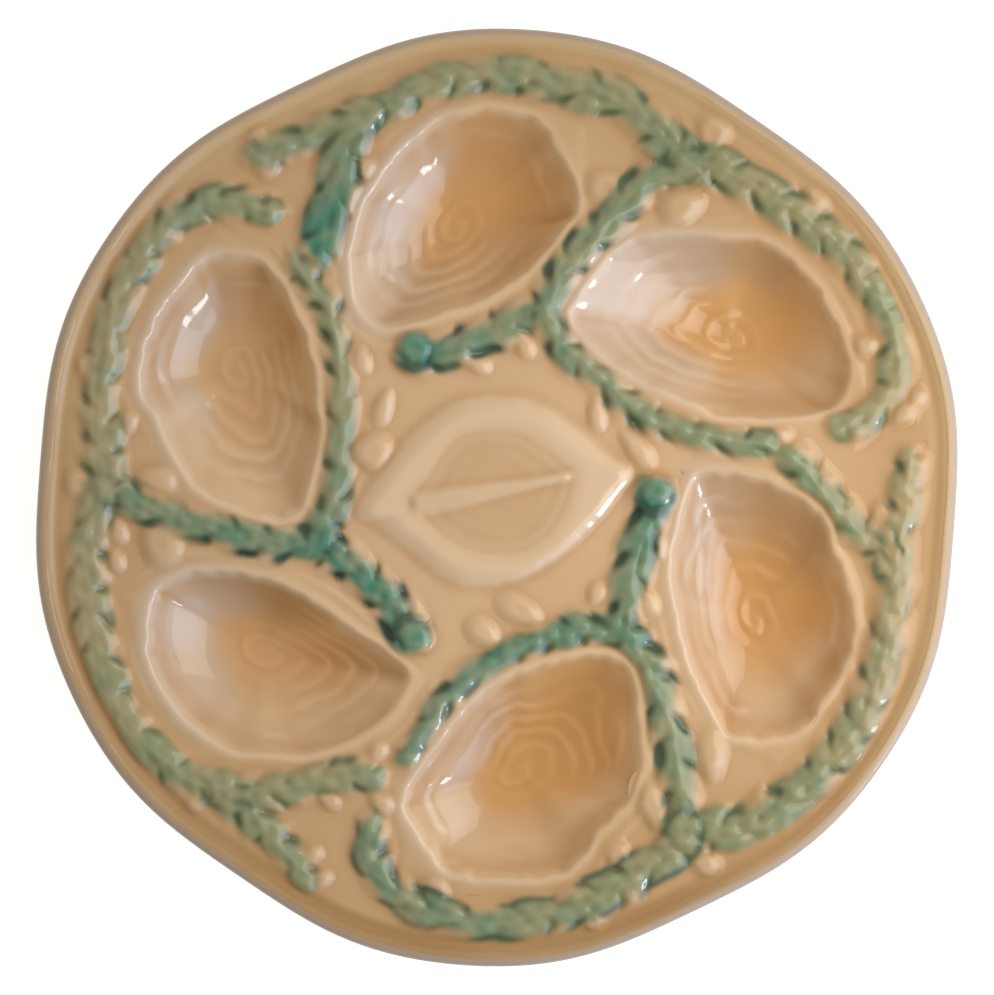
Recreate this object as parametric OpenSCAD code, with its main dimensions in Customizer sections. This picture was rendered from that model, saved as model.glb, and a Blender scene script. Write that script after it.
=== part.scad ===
/* [Plate] */
// Diameter across opposite lobes of the scalloped edge
plate_d = 245; // [225:1:280]
// Depth that the dips between the lobes cut into the edge
scallop_depth = 2.8; // [0:0.1:5]
// Thickness of the ceramic
wall = 4; // [3:0.25:5]

/* [Rim] */
// Width of the ochre band between the bed and the outermost edge
rim_band_w = 7.5; // [6.5:0.25:10]
// Height of the rim's bead above the bed
rim_rise = 2.4; // [2:0.1:8]
// Thickness of the rounded bead
lip_d = 4.6; // [3:0.2:6]

/* [Oyster wells] */
// Depth of each well below the bed
well_depth = 14; // [9:0.5:18]
// Height of the raised shell edge above the bed
well_edge_h = 1.3; // [0.8:0.1:3]
// Width of the raised shell edge outside the basin
well_edge_w = 2.2; // [1.5:0.1:3]
// Depth of the small notch in the hinge corner of each shell
hinge_notch_d = 1.1; // [0:0.1:1.5]
// Gap between the underside of the wells and the table
well_clearance = 2; // [1:0.25:6]

/* [Foot ring] */
// Space between the foot ring and the wells' shells
foot_gap = 3; // [1:0.5:10]
// Width of the foot ring where it joins the underside
foot_root_w = 6; // [4:0.5:8]
// Width of the unglazed face that the plate stands on
foot_face_w = 3.2; // [2:0.2:4]

/* [Lemon dish] */
// Height of the lemon's raised border above the bed
lemon_h = 2.8; // [2:0.2:6]
// Width of the lemon's raised border
lemon_border_w = 7; // [5:0.25:9]
// Thickness of the floor inside the lemon's border
lemon_floor_h = 0.9; // [0.5:0.1:1.5]
// Height of the core rib above the bed
lemon_rib_h = 2; // [1.6:0.1:3.5]
// Width of the core rib at its broad end
lemon_rib_w = 5; // [3:0.25:6]

/* [Seaweed] */
// Width of the band that the outermost fronds take between the field of wells and the rim
frond_band_w = 15; // [12:0.5:18]
// Width of the fronds that run along the rim
rim_frond_w = 9.5; // [6:0.5:11]
// Width of the fronds that run between the wells
side_frond_w = 7.6; // [5:0.5:9]
// Width of the stems
stem_w = 7.4; // [5:0.5:8]
// Height of the seaweed above the bed
frond_h = 2.8; // [2:0.2:5]
// Diameter of the knob at the inner end of each stem
knob_d = 10.5; // [8:0.5:12]
// Height of a bladder for each unit of its width
bladder_height_share = 0.34; // [0.3:0.02:0.6]
// Distance that the decoration keeps from the wells, the rim and other pieces
relief_gap = 0.3; // [0.2:0.05:0.6]

/* [Hidden] */
// Narrowest half width at which a frond is still formed
frond_min = 1.1;

// The edge of the plate has six lobes, one of them along +Y
LOBES = 6;
LOBE_ANGLE = 30;
// How much the lobes are flattened, as a share of the scallop depth
lobe_flat_share = 0.27;
EDGE_STEPS = 96;
LIP_STEPS = 7;
// The lip's rounding starts where the cove ends, and turns over the top to the underside
LIP_START = 150;
LIP_TURN = 230;
COVE_STEPS = 3;
CURVE_STEPS = 2;
RING_STEPS = 128;
BALL_STEPS = 20;

plate_r = plate_d / 2;
bed_z = well_clearance + wall + well_depth;
bed_under_z = bed_z - wall;
// Radius of the field of wells. Every place in it is a share of this radius
field_r = plate_r - rim_band_w - frond_band_w;
// A share past 1 lies in the outermost fronds' band, which ends at the rim when it is past 1 by this much
band_share = 0.15;
function place(share) =
    let (past = norm(share) - 1)
        past > 0 ? share / norm(share) * (field_r + frond_band_w * past / band_share) : share * field_r;
function places(shares) = [for (share = shares) place(share)];

// Colours of the glazes and of the bare clay
honey = "#cca882";
ochre = "#b49266";
amber = "#bd925c";
lemon_glaze = "#c39d6a";
clay = "#b9a68f";
teal = "#3f7f68";
sage = "#7d9a78";
pod = "#b89a68";

// Each well: its deepest place, the corner of its hinge and the edge of its basin, clockwise from above
well_shares = [
    [[-0.13, 0.73], [0.16, 1.00], [
        [-0.43, 0.60], [-0.42, 0.67], [-0.40, 0.75], [-0.37, 0.80], [-0.32, 0.88], [-0.28, 0.92],
        [-0.24, 0.96], [-0.15, 1.00], [-0.08, 1.01], [0.00, 1.00], [0.05, 0.97], [0.08, 0.92],
        [0.12, 0.87], [0.14, 0.82], [0.15, 0.76], [0.12, 0.72], [0.08, 0.66], [0.04, 0.61],
        [0.00, 0.57], [-0.05, 0.53], [-0.10, 0.50], [-0.18, 0.47], [-0.25, 0.44], [-0.33, 0.42],
        [-0.38, 0.45], [-0.41, 0.50]]],
    [[0.55, 0.48], [0.95, 0.335], [
        [0.15, 0.50], [0.18, 0.54], [0.20, 0.58], [0.24, 0.64], [0.30, 0.69], [0.36, 0.71],
        [0.42, 0.72], [0.50, 0.72], [0.62, 0.72], [0.68, 0.70], [0.74, 0.66], [0.79, 0.61],
        [0.83, 0.55], [0.86, 0.50], [0.88, 0.45], [0.89, 0.40], [0.89, 0.35], [0.85, 0.295],
        [0.79, 0.28], [0.70, 0.265], [0.62, 0.26], [0.55, 0.265], [0.48, 0.29], [0.42, 0.31],
        [0.36, 0.33], [0.30, 0.36], [0.25, 0.39], [0.19, 0.44]]],
    [[0.72, -0.25], [0.78, -0.64], [
        [0.60, 0.11], [0.68, 0.10], [0.76, 0.07], [0.82, 0.04], [0.86, 0.00], [0.88, -0.06],
        [0.91, -0.12], [0.94, -0.19], [0.95, -0.24], [0.95, -0.30], [0.93, -0.38], [0.89, -0.45],
        [0.85, -0.53], [0.77, -0.57], [0.66, -0.57], [0.62, -0.53], [0.58, -0.47], [0.54, -0.40],
        [0.51, -0.32], [0.49, -0.24], [0.47, -0.17], [0.47, -0.10], [0.48, -0.03], [0.49, 0.03],
        [0.52, 0.10]]],
    [[0.13, -0.70], [-0.18, -0.99], [
        [-0.18, -0.82], [-0.17, -0.77], [-0.13, -0.70], [-0.08, -0.62], [-0.02, -0.54], [0.02, -0.50],
        [0.07, -0.46], [0.13, -0.44], [0.20, -0.41], [0.27, -0.39], [0.33, -0.39], [0.37, -0.42],
        [0.40, -0.47], [0.41, -0.54], [0.42, -0.60], [0.43, -0.67], [0.42, -0.72], [0.40, -0.77],
        [0.36, -0.81], [0.32, -0.86], [0.29, -0.92], [0.25, -0.96], [0.18, -0.98], [0.10, -0.99],
        [0.00, -0.99], [-0.07, -0.97], [-0.11, -0.92], [-0.15, -0.87]]],
    [[-0.57, -0.47], [-0.95, -0.33], [
        [-0.87, -0.31], [-0.80, -0.265], [-0.70, -0.25], [-0.62, -0.255], [-0.55, -0.27], [-0.48, -0.30],
        [-0.42, -0.33], [-0.36, -0.37], [-0.30, -0.40], [-0.25, -0.43], [-0.21, -0.46], [-0.19, -0.49],
        [-0.21, -0.53], [-0.24, -0.59], [-0.30, -0.64], [-0.37, -0.68], [-0.45, -0.71], [-0.55, -0.71],
        [-0.63, -0.71], [-0.70, -0.68], [-0.75, -0.65], [-0.80, -0.60], [-0.84, -0.55], [-0.87, -0.49],
        [-0.88, -0.44], [-0.88, -0.37]]],
    [[-0.70, 0.24], [-0.78, 0.655], [
        [-0.83, 0.54], [-0.79, 0.57], [-0.73, 0.575], [-0.67, 0.57], [-0.64, 0.55], [-0.60, 0.50],
        [-0.57, 0.45], [-0.54, 0.40], [-0.52, 0.34], [-0.50, 0.27], [-0.49, 0.20], [-0.475, 0.145],
        [-0.48, 0.09], [-0.49, 0.03], [-0.50, -0.03], [-0.52, -0.08], [-0.57, -0.10], [-0.63, -0.09],
        [-0.70, -0.07], [-0.77, -0.04], [-0.82, 0.01], [-0.86, 0.07], [-0.89, 0.13], [-0.94, 0.20],
        [-0.95, 0.26], [-0.94, 0.33], [-0.91, 0.42], [-0.87, 0.48]]],
];
// Half of the angle that the hinge corner takes, seen from the well's deepest place
HINGE_SPREAD = 21;
// Section of a well's basin: distance from its middle as a share of the edge, depth as a share of the depth
basin_shares = [[0.22, 1.00], [0.42, 0.96], [0.62, 0.86], [0.80, 0.64], [0.93, 0.32]];
// Section of the shell's underside, in the same way
shell_shares = [[0.92, 0.34], [0.80, 0.72], [0.62, 0.93], [0.36, 1.00]];

// Outer edge of the lemon, clockwise from above, and its middle
lemon_middle_share = [-0.01, 0.01];
lemon_shares = [
    [-0.365, -0.055], [-0.34, 0.00], [-0.27, 0.11], [-0.22, 0.17], [-0.15, 0.23], [-0.08, 0.26],
    [0.02, 0.27], [0.10, 0.255], [0.17, 0.22], [0.24, 0.17], [0.30, 0.13], [0.34, 0.105],
    [0.345, 0.07], [0.32, 0.035], [0.29, -0.01], [0.26, -0.05], [0.22, -0.10], [0.17, -0.15],
    [0.10, -0.20], [0.03, -0.23], [-0.05, -0.24], [-0.12, -0.225], [-0.18, -0.19], [-0.25, -0.14],
    [-0.31, -0.10], [-0.355, -0.085]];
// Section of the lemon's border, from the floor outwards: distance in and height as shares
lemon_border_shares = [[1, 0], [0.84, 0.72], [0.52, 1], [0.2, 0.72], [0, 0]];
// Middle line of the core rib, and how much it narrows along its length
lemon_taper_share = 0.7;
lemon_rib_shares = [[-0.21, -0.045], [-0.14, -0.02], [-0.05, 0.01], [0.05, 0.04], [0.13, 0.06], [0.19, 0.075]];

// Middle lines of the seaweed, from the stem outwards, for each of its three plants
stem_shares = [
    [[-0.24, 0.355], [-0.18, 0.37], [-0.10, 0.40], [-0.03, 0.435], [0.03, 0.475], [0.09, 0.51], [0.12, 0.58],
        [0.16, 0.65], [0.21, 0.71], [0.26, 0.78], [0.30, 0.83], [0.35, 0.87], [0.43, 0.91]],
    [[0.41, 0.03], [0.40, -0.04], [0.38, -0.12], [0.36, -0.20], [0.36, -0.28], [0.37, -0.34], [0.43, -0.42],
        [0.47, -0.50], [0.50, -0.58], [0.52, -0.66], [0.54, -0.74], [0.55, -0.82]],
    [[-0.20, -0.37], [-0.25, -0.30], [-0.32, -0.24], [-0.39, -0.19], [-0.47, -0.16], [-0.56, -0.16],
        [-0.66, -0.15], [-0.76, -0.13], [-0.86, -0.11], [-0.93, -0.09], [-1.02, -0.05]],
];
outer_frond_shares = [
    [[0.43, 0.91], [0.38, 0.96], [0.32, 1.01], [0.24, 1.05], [0.14, 1.08], [0.04, 1.10], [-0.06, 1.10],
        [-0.16, 1.09], [-0.26, 1.06], [-0.36, 1.00], [-0.44, 0.95], [-0.52, 0.92], [-0.60, 0.88], [-0.68, 0.84]],
    [[0.55, -0.82], [0.62, -0.82], [0.70, -0.81], [0.78, -0.77], [0.85, -0.70], [0.92, -0.62], [0.98, -0.52],
        [1.02, -0.42], [1.04, -0.32], [1.05, -0.22], [1.05, -0.12], [1.01, -0.05], [0.94, -0.01], [0.88, 0.05],
        [0.82, 0.10], [0.76, 0.16]],
    [[-1.02, -0.05], [-1.05, -0.16], [-1.06, -0.25], [-1.04, -0.35], [-1.01, -0.46], [-0.97, -0.57],
        [-0.91, -0.67], [-0.83, -0.74], [-0.74, -0.79], [-0.64, -0.81], [-0.54, -0.81], [-0.45, -0.79],
        [-0.37, -0.76], [-0.28, -0.75]],
];
fork_shares = [
    [[-0.42, 0.965], [-0.46, 0.89], [-0.48, 0.80], [-0.49, 0.72], [-0.51, 0.62]],
    [[1.05, -0.10], [1.05, -0.02], [1.06, 0.05], [1.065, 0.11], [1.07, 0.17]],
    [[-0.66, -0.805], [-0.58, -0.87], [-0.52, -0.93], [-0.46, -0.98], [-0.42, -1.03]],
];
rim_frond_shares = [
    [[0.43, 0.91], [0.52, 0.90], [0.60, 0.87], [0.68, 0.82], [0.77, 0.77], [0.85, 0.71], [0.92, 0.63],
        [0.98, 0.54], [1.01, 0.46], [1.01, 0.38], [0.97, 0.31], [0.89, 0.26]],
    [[0.55, -0.82], [0.53, -0.88], [0.45, -0.94], [0.36, -1.01], [0.26, -1.06], [0.16, -1.09], [0.05, -1.105],
        [-0.06, -1.10], [-0.15, -1.07], [-0.22, -1.02], [-0.26, -0.96], [-0.26, -0.88]],
    [[-1.02, -0.05], [-1.04, 0.06], [-1.05, 0.16], [-1.05, 0.26], [-1.04, 0.36], [-1.02, 0.46], [-0.98, 0.54],
        [-0.93, 0.62], [-0.86, 0.68], [-0.78, 0.71], [-0.66, 0.70]],
];
side_frond_shares = [
    [[0.09, 0.51], [0.13, 0.42], [0.19, 0.37], [0.25, 0.33], [0.31, 0.28], [0.38, 0.24], [0.46, 0.215],
        [0.54, 0.20], [0.62, 0.195], [0.69, 0.19]],
    [[0.37, -0.34], [0.28, -0.325], [0.20, -0.34], [0.12, -0.37], [0.04, -0.42], [-0.03, -0.47], [-0.09, -0.53],
        [-0.13, -0.60], [-0.18, -0.69]],
    [[-0.47, -0.16], [-0.43, -0.06], [-0.42, 0.03], [-0.42, 0.12], [-0.42, 0.21], [-0.43, 0.30], [-0.45, 0.38],
        [-0.48, 0.46], [-0.53, 0.52], [-0.57, 0.57]],
];
// Bladders of each plant: place, and half width. Each one seats itself against the nearest frond
bladder_shares = [
    [[0.24, 0.83, 0.034], [0.04, 0.41, 0.034], [-0.08, 0.34, 0.028], [-0.41, 0.83, 0.028],
        [-0.68, 0.90, 0.026], [-0.64, 0.80, 0.026], [0.49, 1.00, 0.045], [0.53, 0.81, 0.032],
        [0.76, 0.84, 0.032], [0.95, 0.46, 0.030], [1.04, 0.29, 0.034], [0.24, 0.24, 0.034], [0.37, 0.16, 0.026],
        [0.72, 0.23, 0.020], [-0.10, 0.46, 0.022]],
    [[0.43, -0.10, 0.028], [0.42, -0.22, 0.026], [0.62, -0.64, 0.040], [0.45, -0.79, 0.042],
        [0.40, -0.90, 0.030], [0.33, -1.08, 0.030], [0.61, -0.91, 0.032], [-0.08, -1.03, 0.034],
        [0.07, -0.28, 0.042], [-0.02, -0.36, 0.032], [1.00, 0.04, 0.030], [0.30, -0.22, 0.026]],
    [[-1.09, -0.04, 0.024], [-1.11, 0.26, 0.020], [-0.88, -0.03, 0.022], [-0.87, -0.18, 0.044],
        [-0.98, 0.13, 0.024], [-0.32, 0.10, 0.040], [-0.33, 0.22, 0.036], [-0.38, 0.33, 0.028],
        [-1.00, -0.22, 0.024], [-0.72, -0.86, 0.026], [-0.40, -0.96, 0.024], [-0.38, -1.02, 0.020],
        [-0.24, -0.81, 0.028], [-0.26, -0.69, 0.024], [-0.38, -0.82, 0.026]],
];
// Half section of a frond: distance from its middle line and height, as shares of half width and height
frond_section_shares = [[-1, 0], [-0.86, 0.55], [-0.40, 1], [0.40, 1], [0.86, 0.55], [1, 0]];
// How far the notches between the leaflets cut into a frond's half width
leaflet_share = 0.24;
// Size of a ridge's end face as a share of its full section
end_share = 0.45;
// How much a frond narrows from its root to its tip
frond_taper_share = 0.42;

// Smooth curves through points
function blend(a, b, c, d, t) =
    (2 * b + (c - a) * t + (2 * a - 5 * b + 4 * c - d) * t * t + (3 * b - a - 3 * c + d) * t * t * t) / 2;
function closed_curve(p) = [
    for (i = [0 : len(p) - 1], j = [0 : CURVE_STEPS - 1])
        blend(p[(i + len(p) - 1) % len(p)], p[i], p[(i + 1) % len(p)], p[(i + 2) % len(p)], j / CURVE_STEPS)];
function open_curve(p) = concat([
    for (i = [0 : len(p) - 2], j = [0 : CURVE_STEPS - 1])
        blend(p[max(i - 1, 0)], p[i], p[i + 1], p[min(i + 2, len(p) - 1)], j / CURVE_STEPS)],
    [p[len(p) - 1]]);

// The scalloped edge, moved inwards by a distance
function edge_r(a) =
    plate_r - scallop_depth * ((1 - cos(LOBES * (a - LOBE_ANGLE))) / 2
        - lobe_flat_share * (1 - cos(2 * LOBES * (a - LOBE_ANGLE))) / 2);
function edge_line(inset) = [
    for (i = [0 : EDGE_STEPS - 1]) let (a = 360 * i / EDGE_STEPS) (edge_r(a) - inset) * [cos(a), sin(a)]];

// A closed solid through rings of the same number of points, closed at both ends to the ring's middle
function middle_of(ring) = [for (p = ring) 1] * ring / len(ring);
function ring_sides(rings, n) = [
    for (r = [0 : rings - 2], j = [0 : n - 1]) let (k = (j + 1) % n)
        each [[r * n + j, (r + 1) * n + k, r * n + k], [r * n + j, (r + 1) * n + j, (r + 1) * n + k]]];
module skin(rings) {
    n = len(rings[0]);
    ends = len(rings) * n;
    polyhedron(
        points = concat(
            [for (ring = rings) each ring],
            [middle_of(rings[0]), middle_of(rings[len(rings) - 1])]),
        faces = concat(
            [for (j = [0 : n - 1]) [ends, j, (j + 1) % n]],
            ring_sides(len(rings), n),
            [for (j = [0 : n - 1]) [ends + 1, ends - n + (j + 1) % n, ends - n + j]]));
}
module skin_loop(rings) {
    n = len(rings[0]);
    polyhedron(
        points = [for (ring = rings) each ring],
        faces = [
            for (r = [0 : len(rings) - 1], j = [0 : n - 1])
                let (k = (j + 1) % n, s = (r + 1) % len(rings))
                    each [[r * n + j, r * n + k, s * n + k], [r * n + j, s * n + k, s * n + j]]]);
}
function raised(line, z) = [for (p = line) [p[0], p[1], z]];
function drawn_in(line, middle, share) = [for (p = line) middle + (p - middle) * share];
function apart(a, b) = abs((a - b + 540) % 360 - 180);
function heading(v) = atan2(v[1], v[0]);

// Wells
function well_middle(k) = well_shares[k][0] * field_r;
function well_basin(k) = closed_curve(well_shares[k][2]) * field_r;
function hinge_pull(k, p) =
    let (m = well_middle(k), hinge = well_shares[k][1] * field_r)
        max(0, 1 - apart(heading(p - m), heading(hinge - m)) / HINGE_SPREAD);
function well_edge(k) = [
    for (p = well_basin(k)) let (m = well_middle(k), hinge = well_shares[k][1] * field_r, w = hinge_pull(k, p))
        (p + well_edge_w * (p - m) / norm(p - m)) * (1 - w) + hinge * w];
WELLS = [0 : len(well_shares) - 1];
well_edges = [for (k = WELLS) well_edge(k)];
lemon_edge = closed_curve(lemon_shares) * field_r;

module oyster_well(k) {
    m = well_middle(k);
    basin = well_basin(k);
    edge = well_edges[k];
    crest = [
        for (i = [0 : len(edge) - 1]) let (p = (basin[i] + edge[i]) / 2)
            [p[0], p[1], bed_z + well_edge_h - hinge_notch_d * hinge_pull(k, basin[i])]];
    color(amber)
        skin(concat(
            [for (s = basin_shares) raised(drawn_in(basin, m, s[0]), bed_z - s[1] * well_depth)],
            [raised(basin, bed_z)],
            [crest],
            [raised(edge, bed_z)],
            [raised(edge, bed_under_z)],
            [for (s = shell_shares) raised(drawn_in(edge, m, s[0]), bed_under_z - s[1] * well_depth)]));
}

// The flat ceramic between the wells
module plate_bed() {
    color(honey)
        translate([0, 0, bed_under_z])
        linear_extrude(wall)
        difference() {
            polygon(edge_line(rim_band_w));
            for (edge = well_edges) polygon(edge);
        }
}

// The low band round the edge: a soft slope and a rounded bead
module scalloped_rim() {
    lip_r = lip_d / 2;
    lip_out = rim_band_w - lip_r;
    lip_z = bed_z + rim_rise - lip_r;
    lip = [
        for (i = [0 : LIP_STEPS]) let (a = LIP_START - LIP_TURN * i / LIP_STEPS)
            [lip_out + lip_r * cos(a), lip_z + lip_r * sin(a)]];
    cove = [
        for (i = [0 : COVE_STEPS - 1]) let (t = i / COVE_STEPS)
            [t * lip[0][0], bed_z + (lip[0][1] - bed_z) * t * t]];
    section = concat(cove, lip, [[0, bed_under_z]]);
    color(ochre)
        skin_loop([for (s = section) raised(edge_line(rim_band_w - s[0]), s[1])]);
}

// The ring that the plate stands on
module foot_ring() {
    nearest = min([for (edge = well_edges, p = edge) norm(p)]);
    root_r = nearest - foot_gap;
    side = (foot_root_w - foot_face_w) / 2;
    color(clay)
        rotate_extrude($fn = RING_STEPS)
        polygon([
            [root_r - foot_root_w, bed_under_z],
            [root_r, bed_under_z],
            [root_r - side, 0],
            [root_r - foot_root_w + side, 0]]);
}

// The lemon in the middle of the bed, with its border, floor and core rib
module lemon_dish() {
    m = lemon_middle_share * field_r;
    rib = open_curve(lemon_rib_shares) * field_r;
    color(lemon_glaze)
        union() {
            skin([
                for (s = lemon_border_shares)
                    raised([for (p = lemon_edge) p - s[0] * lemon_border_w * (p - m) / norm(p - m)],
                        bed_z + max(s[1] * lemon_h, s[0] == 1 ? lemon_floor_h : 0))]);
            ridge(
                [for (i = [0 : len(rib) - 1])
                    [rib[i], lemon_rib_w / 2 * (1 - lemon_taper_share * i / (len(rib) - 1))]],
                bed_z + lemon_floor_h / 2, lemon_rib_h - lemon_floor_h / 2);
        }
}

// Seaweed. A line of it is a list of [place, half width]
function edge_room(p, line) = min([
    for (i = [0 : len(line) - 1])
        let (a = line[i], d = line[(i + 1) % len(line)] - a, t = max(0, min(1, (p - a) * d / (d * d))))
        norm(p - a - d * t)]);
function well_room(p) = min([for (edge = concat(well_edges, [lemon_edge])) edge_room(p, edge)]);
function rim_room(p) = edge_r(heading(p)) - rim_band_w - norm(p);
function line_room(p, lines) = min([for (line = lines, s = line) norm(p - s[0]) - s[1]]);
function frond_line(shares, width, others) =
    let (p = open_curve(places(shares)), n = len(p) - 1)
        [for (i = [0 : n])
            let (
                wish = width / 2 * (1 - frond_taper_share * i / n) * (1 - leaflet_share * (i % 2)),
                room = min(well_room(p[i]), rim_room(p[i]), len(others) > 0 ? line_room(p[i], others) : width),
                w = min(wish, room - relief_gap))
            if (w >= frond_min) [p[i], w]];

// A domed ridge along a line, flat underneath
module ridge(line, z, h) {
    n = len(line) - 1;
    skin([
        for (i = [0 : n])
            let (
                d = line[min(i + 1, n)][0] - line[max(i - 1, 0)][0],
                side = [d[1], -d[0]] / norm(d),
                end = i == 0 || i == n ? end_share : 1)
            [for (s = frond_section_shares)
                let (p = line[i][0] + side * line[i][1] * end * s[0]) [p[0], p[1], z + h * end * s[1]]]]);
}

// The stem of a plant, with the round knob at its inner end
function stem_line(k) =
    let (p = open_curve(places(stem_shares[k])), knob_r = knob_d / 2)
        [for (i = [0 : len(p) - 1])
            let (
                s = norm(p[i] - p[0]) - knob_r,
                knob = sqrt(max(knob_r * knob_r - s * s, 0)),
                w = min(max(stem_w / 2 * (1 - leaflet_share * (i % 2)), knob), well_room(p[i]) - relief_gap))
            [p[i], max(w, frond_min)]];
PLANTS = [0 : len(stem_shares) - 1];
stems = [for (k = PLANTS) stem_line(k)];
outer_fronds = [for (k = PLANTS) frond_line(outer_frond_shares[k], rim_frond_w, stems)];
rim_fronds = [for (k = PLANTS) frond_line(rim_frond_shares[k], rim_frond_w, concat(stems, outer_fronds))];
side_fronds = [
    for (k = PLANTS) frond_line(side_frond_shares[k], side_frond_w, concat(stems, outer_fronds, rim_fronds))];
forks = [
    for (k = PLANTS)
        frond_line(fork_shares[k], side_frond_w, concat(stems, outer_fronds, rim_fronds, side_fronds))];
all_lines = concat(stems, outer_fronds, rim_fronds, side_fronds, forks);

module stem(k) {
    color(teal) ridge(stems[k], bed_z, frond_h);
}
// The frond that follows the rim, and the short one that forks off near its end
module outer_frond(k) {
    color(sage) ridge(outer_fronds[k], bed_z, frond_h);
}
module fork_frond(k) {
    color(sage) ridge(forks[k], bed_z, frond_h);
}
// The frond that follows the rim and hooks back between two wells
module rim_frond(k) {
    color(sage) ridge(rim_fronds[k], bed_z, frond_h);
}
// The frond that runs from the stem around the lemon
module side_frond(k) {
    color(teal) ridge(side_fronds[k], bed_z, frond_h);
}

// Bladders. Each one moves out to the edge of the frond nearest to it, and fills the room there
function nearest_station(p) =
    let (
        stations = [for (line = all_lines) each line],
        d = [for (s = stations) norm(p - s[0]) - s[1]],
        least = min(d))
        [for (i = [0 : len(d) - 1]) if (d[i] == least) stations[i]][0];
function bladder_place(p, r) =
    let (s = nearest_station(p), away = (p - s[0]) / norm(p - s[0]))
        s[0] + away * max(s[1] + r + relief_gap, norm(p - s[0]));
function bladder(share) =
    let (
        r = share[2] * field_r,
        p = bladder_place(place([share[0], share[1]]), r),
        room = min(well_room(p), rim_room(p), line_room(p, all_lines)) - relief_gap)
    [p, min(r, room)];
module bladders(k) {
    places = [for (share = bladder_shares[k]) bladder(share)];
    color(pod)
        for (b = places) {
            h = 2 * b[1] * bladder_height_share;
            ball_r = (b[1] * b[1] + h * h) / (2 * h);
            if (b[1] >= frond_min)
                translate([b[0][0], b[0][1], bed_z])
                intersection() {
                    translate([0, 0, h - ball_r]) sphere(ball_r, $fn = BALL_STEPS);
                    translate([-ball_r, -ball_r, 0]) cube(2 * ball_r);
                }
        }
}

plate_bed();
scalloped_rim();
foot_ring();
lemon_dish();
for (k = WELLS) oyster_well(k);
for (k = PLANTS) stem(k);
for (k = PLANTS) outer_frond(k);
for (k = PLANTS) fork_frond(k);
for (k = PLANTS) rim_frond(k);
for (k = PLANTS) side_frond(k);
for (k = PLANTS) bladders(k);
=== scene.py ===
import math

import bpy
import numpy as np
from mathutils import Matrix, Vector


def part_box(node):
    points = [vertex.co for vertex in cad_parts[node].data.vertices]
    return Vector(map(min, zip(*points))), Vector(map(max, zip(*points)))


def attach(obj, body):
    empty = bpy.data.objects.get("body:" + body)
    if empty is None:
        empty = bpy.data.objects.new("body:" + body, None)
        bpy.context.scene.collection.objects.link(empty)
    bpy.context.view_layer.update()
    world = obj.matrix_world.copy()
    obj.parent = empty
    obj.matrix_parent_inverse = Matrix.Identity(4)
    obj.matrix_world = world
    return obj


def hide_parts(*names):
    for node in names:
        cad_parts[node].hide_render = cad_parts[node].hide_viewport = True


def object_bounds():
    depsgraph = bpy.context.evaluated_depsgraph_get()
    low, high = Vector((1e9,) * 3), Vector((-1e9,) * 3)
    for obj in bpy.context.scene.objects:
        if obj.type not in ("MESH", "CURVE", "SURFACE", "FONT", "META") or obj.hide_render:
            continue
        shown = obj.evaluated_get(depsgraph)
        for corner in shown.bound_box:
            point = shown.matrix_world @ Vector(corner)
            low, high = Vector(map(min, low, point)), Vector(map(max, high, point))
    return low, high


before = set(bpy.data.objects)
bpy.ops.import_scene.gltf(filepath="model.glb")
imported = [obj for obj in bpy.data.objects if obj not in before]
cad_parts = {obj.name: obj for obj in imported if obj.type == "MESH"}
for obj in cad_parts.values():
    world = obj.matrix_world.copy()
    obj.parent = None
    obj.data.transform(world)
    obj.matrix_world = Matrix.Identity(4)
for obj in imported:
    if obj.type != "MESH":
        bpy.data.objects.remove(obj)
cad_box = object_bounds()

# Lengths below are in millimetres, and MM turns them into metres
MM = 0.001
TURN = 2 * math.pi


def span(node):
    """Lowest and highest corner of a node of the frame."""
    low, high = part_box(node)
    return np.array(low) / MM, np.array(high) / MM


BED_LOW = span("plate_bed")[0][2]
BED_TOP = span("plate_bed")[1][2]
RIM_TOP = span("scalloped_rim")[1][2]
PLATE_R = span("scalloped_rim")[1][1]
HIGHEST = cad_box[1][2] / MM
WELL_DEPTH = BED_LOW - span("oyster_well_1")[0][2]

# The scalloped edge has six lobes, one of them along +Y
LOBES = 6
LOBE_ANGLE = math.radians(30)
SCALLOP_DEPTH = 2.8
LOBE_FLAT = 0.27
RIM_WIDTH = 7.5
LIP_R = 2.3

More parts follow.
